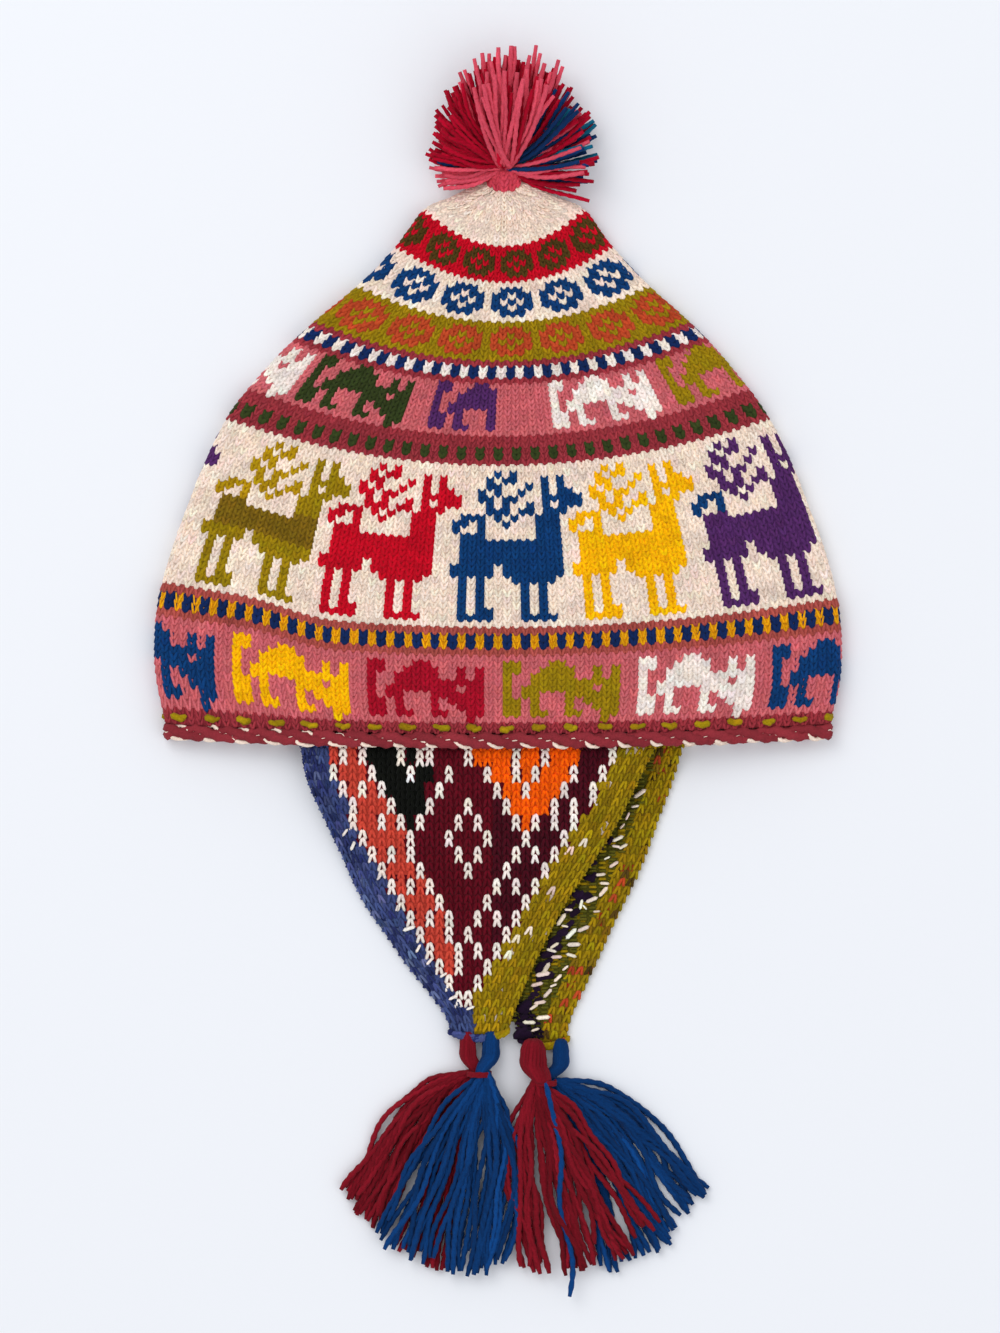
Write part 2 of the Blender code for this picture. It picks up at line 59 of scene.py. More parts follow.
# Handspun wool, dyed with plant and chemical dyes: each letter is what the charts below use
yarns = dict(
    c="#fae5d3",  # undyed cream
    r="#c90722",  # crimson
    p="#d2696f",  # dusty pink
    d="#9e353e",  # rose maroon of the rim
    n="#0a3c72",  # navy
    y="#ffbe00",  # golden yellow
    g="#9e820a",  # olive mustard
    j="#806412",  # the darker dye in the olive figure
    z="#b6900a",  # and its yellower one
    h="#513c14",  # brown green of the highest rosettes
    f="#34401c",  # dark green
    v="#552a64",  # purple
    u="#bc4825",  # rust
    s="#b2524a",  # rust rose between the bands
    i="#cf4456",  # rose of the tip
    w="#f8ece2",  # white
    b="#414d7e",  # slate blue
    e="#2a3364",  # the darker patches of the slate blue
    a="#65719c",  # the paler patches of the slate blue
    l="#d24938",  # coral
    k="#0b0d08",  # near-black green
    m="#64081a",  # maroon field
    q="#4a0718",  # the darker maroon on its right
    o="#ff6300",  # bright orange
    t="#5e5a18",  # dull olive of the wrong side
    x="#1f0f26",  # dark purple of the wrong side
    N="#10285a",  # the darker navy of the checks
    Y="#eca60a",  # their duller yellow
    R="#a90b26",  # the deeper crimson of the cat figure
)
yarnLetters = "".join(yarns)
yarnTable = np.array([linear(yarns[letter]) for letter in yarnLetters])


def ease(share):
    share = np.clip(share, 0.0, 1.0)
    return share * share * (3.0 - 2.0 * share)


def readTable(rows, key, column, at):
    # A smooth curve through the rows, level between two that are equal
    keys = np.array([row[key] for row in rows])
    values = np.array([row[column] for row in rows])
    last = len(rows) - 1
    before, after = np.maximum(np.arange(last + 1) - 1, 0), np.minimum(np.arange(last + 1) + 1, last)
    slopes = (values[after] - values[before]) / (keys[after] - keys[before])
    at = np.asarray(at, float)
    i = np.clip(np.searchsorted(keys[1:], at), 0, last - 1)
    span = keys[i + 1] - keys[i]
    t = np.clip((at - keys[i]) / span, 0.0, 1.0)
    level = values[i] == values[i + 1]
    leave = np.where(level, 0.0, slopes[i] * span)
    arrive = np.where(level, 0.0, slopes[i + 1] * span)
    return (
        (2 * t**3 - 3 * t**2 + 1) * values[i]
        + (t**3 - 2 * t**2 + t) * leave
        + (3 * t**2 - 2 * t**3) * values[i + 1]
        + (t**3 - t**2) * arrive
    )


# The crown's surface, as the CAD part has it
lowest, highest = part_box("crown")
crown = dict(
    width=highest.x - lowest.x,
    height=highest.y - lowest.y,
    restAboveRim=-lowest.y,
    thickness=28.0 * mm,
    lean=2.4 * mm,
    foldRadius=5.0 * mm,
    wall=3.0 * mm,
    ribDepth=1.6 * mm,
    hollowTo=0.930,
    courses=[
        dict(middle=0.000, fold=0.016, half=0.968, low=0.00, high=0.71),
        dict(middle=0.076, fold=0.111, half=1.000, low=0.00, high=0.80),
        dict(middle=0.187, fold=0.241, half=0.988, low=0.00, high=0.90),
        dict(middle=0.327, fold=0.401, half=0.905, low=0.00, high=0.98),
        dict(middle=0.470, fold=0.556, half=0.790, low=0.00, high=1.00),
        dict(middle=0.567, fold=0.653, half=0.666, low=0.00, high=0.94),
        dict(middle=0.653, fold=0.727, half=0.545, low=0.00, high=0.86),
        dict(middle=0.722, fold=0.790, half=0.424, low=0.00, high=0.79),
        dict(middle=0.792, fold=0.859, half=0.315, low=0.00, high=0.73),
        dict(middle=0.856, fold=0.924, half=0.234, low=0.00, high=0.66),
        dict(middle=0.894, fold=0.942, half=0.166, low=0.00, high=0.58),
        dict(middle=0.930, fold=0.960, half=0.108, low=0.00, high=0.50),
        dict(middle=0.949, fold=0.970, half=0.063, low=0.01, high=0.46),
        dict(middle=0.970, fold=0.982, half=0.060, low=0.05, high=0.43),
        dict(middle=0.990, fold=0.994, half=0.046, low=0.09, high=0.39),
        dict(middle=1.000, fold=1.000, half=0.020, low=0.16, high=0.30),
    ],
    dents=[
        dict(across=0.10, up=0.830, wide=0.16, tall=0.045, deep=0.09),
        dict(across=-0.42, up=0.885, wide=0.20, tall=0.030, deep=0.07),
        dict(across=0.42, up=0.420, wide=0.30, tall=0.140, deep=0.05),
        dict(across=-0.50, up=0.180, wide=0.26, tall=0.120, deep=0.06),
        dict(across=0.05, up=0.060, wide=0.22, tall=0.080, deep=0.05),
    ],
)


def crownSection(middle):
    at = {name: float(readTable(crown["courses"], "middle", name, middle)) for name in ("half", "low", "high", "fold")}
    at["half"] *= crown["width"] / 2
    at["low"] *= crown["thickness"]
    at["high"] *= crown["thickness"]
    at["fold"] *= crown["height"]
    at["lean"] = crown["lean"] * float(ease((middle - 0.45) / 0.35))
    return at


def roof(half, low, high, radius, x):
    t = np.minimum(1.0, np.abs(x) / (half - radius))
    shoulder = low + 2 * radius
    return shoulder + (high - shoulder) * (1 - t * t) ** 1.2


def crownLine(middle, inset, proud=0.0, smooth=False):
    # Once round a course from the middle of the front layer, to the right and round the back
    at = crownSection(middle)
    half, low, high = at["half"] + proud - inset, at["low"] + inset, at["high"] + proud - inset
    room = min(crown["foldRadius"], (at["high"] - at["low"]) / 2, at["half"] * 0.9)
    radius = max(0.4 * mm, room - inset)
    flat = half - radius
    quarter = np.linspace(0.0, math.pi / 2, 60)
    frontRight = flat * np.sin(quarter)
    fold = np.linspace(math.pi / 2, -math.pi / 2, 13)[1:-1]
    x = np.concatenate([frontRight, flat + radius * np.cos(fold), np.linspace(flat, -flat, 60)])
    x = np.concatenate([x, -flat - radius * np.cos(fold[::-1]), -frontRight[::-1]])
    top = roof(half, low, high, radius, frontRight)
    bend = low + radius + radius * np.sin(fold)
    z = np.concatenate([top, bend, np.full(60, low), bend[::-1], top[::-1]])
    if not smooth:
        front = np.abs(x) <= flat + 1e-9
        front &= z > low + 1.5 * radius
        share = x / at["half"]
        sink = np.zeros_like(x)
        for row in crown["dents"]:
            away = ((share - row["across"]) / row["wide"]) ** 2 + ((middle - row["up"]) / row["tall"]) ** 2
            sink += row["deep"] * crown["thickness"] * np.exp(-away)
        swell = float(ease((middle - 0.870) / 0.02) * ease((0.965 - middle) / 0.02))
        ribs = np.arccos(np.clip(x / flat, -1, 1)) * 22 / math.pi
        sink += crown["ribDepth"] * swell * (0.5 - 0.5 * np.cos(math.pi * ribs))
        z = z - np.where(front, sink * (high - low) / crown["thickness"], 0.0)
    bow = (at["fold"] - middle * crown["height"]) * (x / half) ** 2
    y = middle * crown["height"] + bow - crown["restAboveRim"]
    return np.stack([x + at["lean"], y, z], 1)


def alongLine(line, share, closed=True):
    steps = np.linalg.norm(np.diff(line[:, (0, 2)], axis=0), axis=1)
    reach = np.concatenate([[0.0], np.cumsum(steps)])
    at = (np.mod(share, 1.0) if closed else np.clip(share, 0, 1)) * reach[-1]
    return np.stack([np.interp(at, reach, line[:, k]) for k in range(3)], -1)


lineStore = {}


def courseLine(middle, inset):
    key = (round(middle, 6), inset)
    if key not in lineStore:
        lineStore[key] = crownLine(middle, inset)
    return lineStore[key]


# On the photograph's left the courses ride up a little: by is a share of the height
leftLift = dict(by=0.024, start=62 * mm, over=42 * mm, rimTo=0.06, backTo=0.44, fade=0.20)


def crownPoints(middle, share, inset=0.0):
    # middle is one number for all of them, share is an array round the course
    points = alongLine(courseLine(middle, inset), share)
    up = leftLift["by"] * ease(middle / leftLift["rimTo"]) * ease((leftLift["backTo"] - middle) / leftLift["fade"])
    if up > 0:
        higher = alongLine(courseLine(middle + up, inset), share)
        points = points + (higher - points) * ease((-points[..., :1] - leftLift["start"]) / leftLift["over"])
    return points


# Knitting charts. A letter is a yarn, X the motif's own yarn, a dot the ground.
llamaChart = """
......X.X........
.....X.XX...X.X..
.....XX...X.X.X..
....X.X..X..X.XX.
....XX.XX...XXXXX
.....X.X..X.XcXXX
.....XXX.XX.XXX..
..XXX.X.X..XXX...
.XX.X..X...XXX...
.X..X......XXX...
..XXX......XXX...
..XXXXXXXXXXXX...
..XXXXXXXXXXXX...
..XXXXXXXXXXXX...
..XXXXXXXXXXXX...
.XXXXX.XXXXXXX...
.XXXXX.XXXXXXX...
..X.X...XXXXX....
..X.X....X.X.....
..X.X....X.X.....
..X.X....X.X.....
..X.X....X.X.....
..X.XX...X.X.....
..XXXX...XXXX....
"""
catChart = """
XX...XX......
XX..XXXX..X.X
X..XXXXX..X.X
X..XXXXXXXXXX
X.XXXXXXXX.XX
X.XX...XXXXXX
XX.X...X.XXXX
XX.X...X..XXX
XX.XX..XX..XX
...........X.
"""
rosetteChart = """
.XXX.
XX.XX
X.X.X
XX.XX
.XXX.
"""
checkChart = """
X.
X.
"""


def chartRows(chart):
    return chart.split()[::-1]  # the lowest row first


# Bands of the crown from the rim up. top is in px of the photograph up the middle, rows from the
# lowest: chartFrom is the row that the chart starts on. A motif is its first column, its yarn, and
# how many of its columns are knitted where that isn't all of them. A change is another yarn in the
# motif from one column and row up to others. fuller is how much wider a motif's stitch is
# than others, and leaner how much narrower the stitches between them are.
bands = [
    dict(name="hem", top=722, rows=2, around=156, ground="dd"),
    dict(
        name="cats", top=655, rows=11, around=156, ground="ppppppppppp", chart=catChart, chartFrom=0,
        motifs=[(-44, "n"), (-29, "y"), (-14, "R"), (1, "g"), (16, "w"), (31, "n"), (46, "v"), (61, "y"), (76, "R"),
                (91, "g")],
    ),
    dict(
        name="yellowChecks", top=627, rows=4, around=156, ground="sYYs", chart=checkChart, chartFrom=1, fuller=1.6, leaner=0.72,
        motifs=[(2 * i + 1, "N") for i in range(78)],
    ),
    dict(
        name="llamas", top=466, rows=26, around=150, ground="c" * 26, chart=llamaChart, chartFrom=1,
        motifs=[(-35, "g"), (-21, "r"), (-6, "n"), (8, "y"), (23, "v"), (38, "g"), (53, "r"), (68, "n"), (83, "y"),
                (98, "v")],
        changes=[(-35, -20, 10, 15, "j"), (-35, -24, 15, 25, "z"), (23, 28, 15, 18, "n"), (38, 53, 10, 14, "j")],
    ),
    dict(
        name="greenChecks", top=437, rows=5, around=120, ground="ddddd", chart=checkChart, chartFrom=1, fuller=1.6, leaner=0.78,
        motifs=[(2 * i, "f") for i in range(60)],
    ),
    dict(
        name="upperCats", top=385, rows=10, around=120, ground="p" * 10, chart=catChart, chartFrom=0,
        motifs=[(-38, "w"), (-24, "f"), (-8, "v", 8), (7, "w"), (22, "g"), (37, "n"), (52, "r"), (67, "y")],
    ),
    dict(
        name="whiteChecks", top=362, rows=4, around=90, ground="dwwd", chart=checkChart, chartFrom=1, fuller=1.35, leaner=0.85,
        motifs=[(2 * i + 1, "N") for i in range(45)],
    ),
    dict(
        name="rustRosettes", top=323, rows=7, around=84, ground="g" * 7, chart=rosetteChart, chartFrom=1,
        motifs=[(6 * i - 1, "u") for i in range(14)],
    ),
    dict(
        name="navyRosettes", top=283, rows=7, around=66, ground="c" * 7, chart=rosetteChart, chartFrom=1,
        motifs=[(6 * i - 1, "n") for i in range(11)],
    ),
    dict(
        name="greenRosettes", top=247, rows=7, around=66, ground="r" * 7, chart=rosetteChart, chartFrom=1,
        motifs=[(6 * i, "h") for i in range(11)],
    ),
    dict(name="capLow", top=215, rows=6, around=44, ground="cccccc"),
    dict(name="cap", top=192, rows=5, around=24, ground="ccccc"),
    dict(name="tip", top=165, rows=4, around=10, ground="iiii"),
]
rimPixel = 733.0


def layBands():
    # Every course: its place up the crown, its stitches, and each stitch's yarn
    courses = []
    bottom = rimPixel
    for band in bands:
        grid = [[letter] * band["around"] for letter in band["ground"]]
        for start, letter, *cut in band.get("motifs", []):
            for r, line in enumerate(chartRows(band["chart"])):
                for c, mark in enumerate(line[: cut[0] if cut else None]):
                    if mark != ".":
                        column = (start + c) % band["around"]
                        grid[band["chartFrom"] + r][column] = letter if mark == "X" else mark
        for first, last, lowRow, highRow, letter in band.get("changes", []):
            for r in range(lowRow, highRow):
                for column in range(first, last):
                    if grid[r][column % band["around"]] != band["ground"][r]:
                        grid[r][column % band["around"]] = letter
        for r in range(band["rows"]):
            low, high = [
                (rimPixel - (bottom + (band["top"] - bottom) * k / band["rows"])) * photoPixel / crown["height"]
                for k in (r, r + 1)
            ]
            codes = np.array([yarnLetters.index(letter) for letter in grid[r]])
            course = dict(band=band["name"], low=low, high=min(high, 1.0), around=band["around"], codes=codes)
            ground = codes == yarnLetters.index(band["ground"][r])
            course["full"] = np.where(ground, 1.0 if ground.all() else band.get("leaner", 1.0), band.get("fuller", 1.2))
            courses.append(course)
        bottom = band["top"]
    return courses


courses = layBands()
print("charts:", len(courses), "courses,", sum(course["around"] for course in courses), "stitches")


def yarnColours(codes, spread=0.07):
    # Handspun yarn takes its dye unevenly, so each stitch is a little lighter or darker
    colours = yarnTable[codes] * np.exp(chance.normal(0, spread, (len(codes), 1)))
    return np.clip(colours * np.exp(chance.normal(0, spread / 3, (len(codes), 3))), 0.0, 1.0)


# One leg of a stitch: a grain of yarn, pointed at both ends, along X
grain = dict(sides=5, rings=3, fullness=1.28)


def grainShape(settings):
    mesh = bmesh.new()
    bmesh.ops.create_uvsphere(
        mesh, u_segments=settings["sides"], v_segments=settings["rings"], radius=1.0,
        matrix=Matrix.Rotation(math.pi / 2, 4, "Y"),
    )
    for vert in mesh.verts:
        if abs(vert.co.x) < 0.99:
            vert.co.x *= settings["fullness"]
    return templateOf(mesh)


def templateOf(mesh):
    # Points, triangles and a tube-like map of a small shape that is laid many times
    bmesh.ops.triangulate(mesh, faces=mesh.faces)
    bmesh.ops.recalc_face_normals(mesh, faces=mesh.faces)
    mesh.verts.index_update()
    points = np.array([v.co for v in mesh.verts])
    faces = np.array([[v.index for v in f.verts] for f in mesh.faces])
    mesh.free()
    corners = points[faces]
    turn = np.arctan2(corners[..., 2], corners[..., 1]) / (2 * math.pi)
    onAxis = np.hypot(corners[..., 1], corners[..., 2]) < 1e-6
    first = np.where(onAxis[:, :1], turn[:, 1:2], turn[:, :1])
    turn = first + (turn - first + 0.5) % 1.0 - 0.5
    turn = np.where(onAxis, (turn * ~onAxis).sum(1, keepdims=True) / (~onAxis).sum(1, keepdims=True), turn)
    span = points[:, 0].max() - points[:, 0].min()
    along = (corners[..., 0] - points[:, 0].min()) / span
    across = np.clip((turn - turn.min()) / (turn.max() - turn.min()), 0, 1)
    return dict(points=points, faces=faces, map=np.stack([along, across], -1))


grainTemplate = grainShape(grain)


def layCopies(name, places, colours, template, material):
    # One mesh of many copies. places is copies x points x 3, colours one per copy or per point.
    count, size = places.shape[0], len(template["points"])
    faces = (template["faces"][None] + (np.arange(count) * size)[:, None, None]).reshape(-1, 3)
    data = bpy.data.meshes.new(name)
    data.vertices.add(count * size)
    data.vertices.foreach_set("co", places.reshape(-1).astype(np.float32))
    data.loops.add(faces.size)
    data.loops.foreach_set("vertex_index", faces.reshape(-1).astype(np.int32))
    data.polygons.add(len(faces))
    data.polygons.foreach_set("loop_start", np.arange(0, faces.size, 3, dtype=np.int32))
    data.polygons.foreach_set("use_smooth", np.ones(len(faces), bool))
    if colours.ndim == 2:
        colours = np.repeat(colours[:, None, :], size, axis=1)
    paint = np.concatenate([colours, np.ones((count, size, 1))], -1)
    data.attributes.new("yarn", "FLOAT_COLOR", "POINT").data.foreach_set("color", paint.reshape(-1).astype(np.float32))
    # Each copy has its own cell of the map
    side = math.ceil(math.sqrt(count))
    corner = np.stack([np.arange(count) % side, np.arange(count) // side], -1)[:, None, None, :]
    cells = (corner + 0.12 + 0.76 * template["map"][None]) / side
    data.uv_layers.new(name="OFBake").data.foreach_set("uv", cells.reshape(-1).astype(np.float32))
    data.update(calc_edges=True)
    data.materials.append(material)
    piece = bpy.data.objects.new(name, data)
    bpy.context.scene.collection.objects.link(piece)
    return piece


def unit(vectors):
    return vectors / np.maximum(np.linalg.norm(vectors, axis=-1, keepdims=True), 1e-12)


def legPlaces(start, end, normal, wide, thick, template, curl=0.0):
    # Copies of a grain from start to end, its flat side along the surface
    ahead = end - start
    middle = (start + end) / 2
    side = unit(np.cross(normal, ahead))
    up = unit(np.cross(ahead, side))
    points = template["points"]
    along = ahead[:, None] * 0.5 * points[None, :, 0:1]
    across = side[:, None] * (np.asarray(wide)[:, None, None] / 2) * points[None, :, 1:2]
    rise = up[:, None] * (np.asarray(thick)[:, None, None] / 2) * points[None, :, 2:3]
    bend = side[:, None] * np.asarray(curl).reshape(-1, 1, 1) * (1 - points[None, :, 0:1] ** 2)
    return middle[:, None] + along + across + rise + bend


# Materials


def addNode(tree, kind, settings=None, values=None, links=None):
    node = tree.nodes.new(kind)
    for name, value in (settings or {}).items():
        setattr(node, name, value)
    for socket, value in (values or {}).items():
        node.inputs[socket].default_value = value
    for socket, source in (links or {}).items():
        tree.links.new(source, node.inputs[socket])
    return node


def newMaterial(name):
    material = bpy.data.materials.new(name)
    material.use_nodes = True
    material.node_tree.nodes.clear()
    return material, material.node_tree


def woolMaterial(name, fibre=0.9, mottle=0.22, bump=0.35, sheen=0.03):
    # Handspun wool: no gloss, a pale halo of loose fibres, and dye that is uneven along the yarn.
    # The fibres are far finer than a pixel, so they are drawn as coarse as they need to show.
    material, tree = newMaterial(name)
    place = addNode(tree, "ShaderNodeTexCoord")
    yarn = addNode(tree, "ShaderNodeAttribute", dict(attribute_name="yarn"))
    fine = addNode(
        tree, "ShaderNodeTexNoise", values=dict(Scale=1 / (fibre * mm), Detail=3.0, Roughness=0.6),
        links=dict(Vector=place.outputs["Object"]),
    )
    broad = addNode(
        tree, "ShaderNodeTexNoise", values=dict(Scale=1 / (9 * mm), Detail=2.0),
        links=dict(Vector=place.outputs["Object"]),
    )
    shade = addNode(
        tree, "ShaderNodeMapRange", values={"From Min": 0.3, "From Max": 0.7, "To Min": 1 - mottle, "To Max": 1 + mottle},
        links={"Value": fine.outputs["Fac"]},
    )
    patch = addNode(
        tree, "ShaderNodeMapRange", values={"From Min": 0.3, "From Max": 0.7, "To Min": 0.92, "To Max": 1.08},
        links={"Value": broad.outputs["Fac"]},
    )
    both = addNode(
        tree, "ShaderNodeMath", dict(operation="MULTIPLY"),
        links={0: shade.outputs["Result"], 1: patch.outputs["Result"]},
    )
    colour = addNode(
        tree, "ShaderNodeVectorMath", dict(operation="SCALE"),
        links={"Vector": yarn.outputs["Color"], "Scale": both.outputs["Value"]},
    )
    relief = addNode(
        tree, "ShaderNodeBump", values=dict(Strength=bump, Distance=0.4 * mm),
        links=dict(Height=fine.outputs["Fac"]),
    )
    shader = addNode(
        tree, "ShaderNodeBsdfPrincipled",
        values={
            "Roughness": 0.92, "Metallic": 0.0, "IOR": 1.45, "Specular IOR Level": 0.10,
            "Sheen Weight": sheen, "Sheen Roughness": 0.55,
        },
        links={"Base Color": colour.outputs["Vector"], "Normal": relief.outputs["Normal"]},
    )
    addNode(tree, "ShaderNodeOutputMaterial", links=dict(Surface=shader.outputs["BSDF"]))
    return material


stitchWool = woolMaterial("handspunWoolStitches")
backingWool = woolMaterial("handspunWoolBacking", mottle=0.30, bump=0.5, sheen=0.02)
strandWool = woolMaterial("twoPlyWoolYarn", fibre=0.7, mottle=0.16, bump=0.3, sheen=0.03)

# Crown: V-shaped stitches whose outer side is flush with the CAD surface
stitch = dict(
    legWide=0.42, legThick=1.50 * mm, spread=0.44, gather=0.03, below=0.90, above=0.66, dip=0.60 * mm,
)
crownPieces = [
    dict(name="crownKnitLower", bands=("hem", "cats", "yellowChecks")),
    dict(name="crownKnitLlamas", bands=("llamas",)),
    dict(
        name="crownKnitUpper",
        bands=("greenChecks", "upperCats", "whiteChecks", "rustRosettes", "navyRosettes", "greenRosettes", "capLow",
               "cap", "tip"),
    ),
]


def crownLegs(course):
    count = course["around"]
    share = np.arange(count) / count
    low, high = course["low"], course["high"]
    rise = high - low
    middle = (low + high) / 2
    ringLine = crownPoints(middle, share)
    pitch = np.linalg.norm(np.roll(ringLine, -1, 0) - ringLine, axis=1)
    step = 0.25 / count
    sideways = crownPoints(middle, share + step) - crownPoints(middle, share - step)
    upwards = crownPoints(middle + rise / 2, share) - crownPoints(middle - rise / 2, share)
    normal = unit(np.cross(sideways, upwards))
    places = []
    for hand in (-1, 1):
        thick = stitch["legThick"] * np.clip(pitch / (3.0 * mm), 0.55, 1.1)
        start = crownPoints(middle - rise * stitch["below"], share + hand * stitch["gather"] / count)
        end = crownPoints(middle + rise * stitch["above"], share + hand * stitch["spread"] / count)
        start = start - normal * (thick / 2)[:, None]
        end = end - normal * (thick / 2 + stitch["dip"])[:, None]
        jitter = chance.normal(0, 0.07 * mm, start.shape)
        wide = pitch * stitch["legWide"] * course["full"] * np.exp(chance.normal(0, 0.05, count))
        places.append(legPlaces(start + jitter, end + jitter, normal, wide, thick, grainTemplate, hand * 0.05 * mm))
    return np.concatenate(places)


def keepInside(points):
    # Nothing goes under the surface that the hat lies on
    points[..., 2] = np.maximum(points[..., 2], 0.0)
    return points


def buildCrownKnit():
    made = []
    for part in crownPieces:
        places, colours = [], []
        for course in courses:
            if course["band"] in part["bands"]:
                places.append(crownLegs(course))
                colours.append(np.tile(yarnColours(course["codes"]), (2, 1)))
        piece = layCopies(
            part["name"], keepInside(np.concatenate(places)), np.concatenate(colours), grainTemplate, stitchWool
        )
        made.append(piece)
        print("crown:", part["name"], len(piece.data.polygons), "triangles")
    return made


# The fabric under the stitches: a closed double layer whose outside lies just under their faces. Where it shows between
# the stitches it has their yarn darkened by shade, which is painted shade in the gaps.
backing = dict(inset=1.05 * mm, shade=0.78, innerRows=9, columns=300, least=14)


def shareCode(course, share):
    column = np.round(np.mod(share, 1.0) * course["around"]).astype(int) % course["around"]
    return course["codes"][column]


def buildCrownBacking():
    rings = [(backing["inset"], course["low"], course) for course in courses]
    rings.append((backing["inset"], courses[-1]["high"] - 0.002, courses[-1]))
    inner = [
        (crown["wall"], crown["hollowTo"] * (1 - i / backing["innerRows"]), courses[0])
        for i in range(backing["innerRows"] + 1)
    ]
    rings = inner + rings
    count = backing["columns"]
    share = np.arange(count) / count
    mesh = bmesh.new()
    paint = mesh.faces.layers.int.new("code")
    ring = bmesh.ops.create_circle(mesh, segments=count, radius=1.0)["verts"]
    ordered = sorted(ring, key=lambda v: math.atan2(v.co.y, v.co.x))
    firstRing = list(ordered)
    for k, (inset, middle, course) in enumerate(rings):
        if k:
            edges = [mesh.edges.get((ordered[i], ordered[(i + 1) % count])) for i in range(count)]
            grown = bmesh.ops.extrude_edge_only(mesh, edges=edges)["geom"]
            step = {}
            for face in (f for f in grown if isinstance(f, bmesh.types.BMFace)):
                face[paint] = -1
            fresh = [v for v in grown if isinstance(v, bmesh.types.BMVert)]
            for vert in fresh:
                for edge in vert.link_edges:
                    other = edge.other_vert(vert)
                    if other in oldPlace:
                        step[oldPlace[other]] = vert
            ordered = [step[i] for i in range(count)]
        places = crownPoints(min(middle, 0.999), share, inset)
        for i, vert in enumerate(ordered):
            vert.co = places[i]
        oldPlace = {vert: i for i, vert in enumerate(ordered)}
        if k > len(inner) - 1:
            below = rings[k - 1][2]
            codes = shareCode(below, (np.arange(count) + 0.5) / count)
            for i in range(count):
                for face in ordered[i].link_faces:
                    if ordered[(i + 1) % count] in face.verts:
                        face[paint] = int(codes[i]) + 1
    bmesh.ops.contextual_create(mesh, geom=ordered)
    bmesh.ops.contextual_create(mesh, geom=firstRing)
    bmesh.ops.recalc_face_normals(mesh, faces=mesh.faces)
    mesh.faces.ensure_lookup_table()
    codes = np.array([face[paint] for face in mesh.faces])
    piece = meshPiece("crownBacking", mesh, backingWool)
    # Painted shade inside the hat: the inner wall and both end caps are cream darkened to 0.8
    ground = yarnTable[yarnLetters.index("c")] * 0.8
    # Painted shade: faces under the stitches take the yarn of the course below darkened by the backing's shade factor,
    # for the shadow in the gaps between stitches
    colours = np.where(codes[:, None] > 0, yarnTable[np.maximum(codes - 1, 0)] * backing["shade"], ground)
    paintFaces(piece, colours)
    return piece


def meshPiece(name, mesh, material):
    data = bpy.data.meshes.new(name)
    mesh.to_mesh(data)
    mesh.free()
    data.shade_smooth()
    data.materials.append(material)
    piece = bpy.data.objects.new(name, data)
    bpy.context.scene.collection.objects.link(piece)
    return piece


def paintFaces(piece, colours):
    data = piece.data
    starts = np.zeros(len(data.polygons), np.int32)
    totals = np.zeros(len(data.polygons), np.int32)
    data.polygons.foreach_get("loop_start", starts)
    data.polygons.foreach_get("loop_total", totals)
    corners = np.repeat(colours, totals, axis=0)
    corners = np.concatenate([corners, np.ones((len(corners), 1))], 1)
    data.attributes.new("yarn", "FLOAT_COLOR", "CORNER").data.foreach_set("color", corners.reshape(-1).astype(np.float32))


# Ear flaps. down is a share of the length, left and right of the width, from the flap's own axis.
# The flap sheet under the stitches is painted in their yarn darkened to 0.66: painted shade in the gaps between
# stitches
flapSize = dict(width=140 * mm, length=112 * mm, thickness=3.0 * mm, bowOver=0.5, paintedGapShade=0.66)
edging = dict(height=6.0 * mm, thickness=4.4 * mm, proud=0.8 * mm, clearance=0.3 * mm)
nearFlap = dict(
    name="near_flap", axis=-0.025, drop=60 * mm, front=True, cut=(0.140, 0.112), area=0.0094,
    rows=[
        dict(down=0.00, left=-0.508, right=0.492),
        dict(down=0.12, left=-0.489, right=0.444),
        dict(down=0.25, left=-0.442, right=0.392),
        dict(down=0.37, left=-0.396, right=0.333),
        dict(down=0.53, left=-0.337, right=0.248),
        dict(down=0.65, left=-0.272, right=0.196),
        dict(down=0.76, left=-0.211, right=0.152),
        dict(down=0.86, left=-0.147, right=0.118),
        dict(down=0.94, left=-0.102, right=0.093),
        dict(down=1.00, left=-0.084, right=0.076),
    ],
)
farFlap = dict(
    name="far_flap", axis=0.068, drop=14 * mm, front=False, cut=(0.1375, 0.1154), area=0.0097,
    rows=[
        dict(down=0.00, left=-0.590, right=0.392),
        dict(down=0.13, left=-0.548, right=0.362),
        dict(down=0.29, left=-0.494, right=0.314),
        dict(down=0.43, left=-0.441, right=0.272),
        dict(down=0.61, left=-0.351, right=0.202),
        dict(down=0.76, left=-0.250, right=0.148),
        dict(down=0.88, left=-0.150, right=0.103),
        dict(down=0.96, left=-0.092, right=0.075),
        dict(down=1.03, left=-0.067, right=0.064),
    ],
)
rim = crownSection(0.0)


def flapEdges(flap, down):
    at = np.maximum(0.0, down)
    middle = flap["axis"] * crown["width"]
    left = middle + readTable(flap["rows"], "down", "left", at) * flapSize["width"]
    right = middle + readTable(flap["rows"], "down", "right", at) * flapSize["width"]
    return left, right


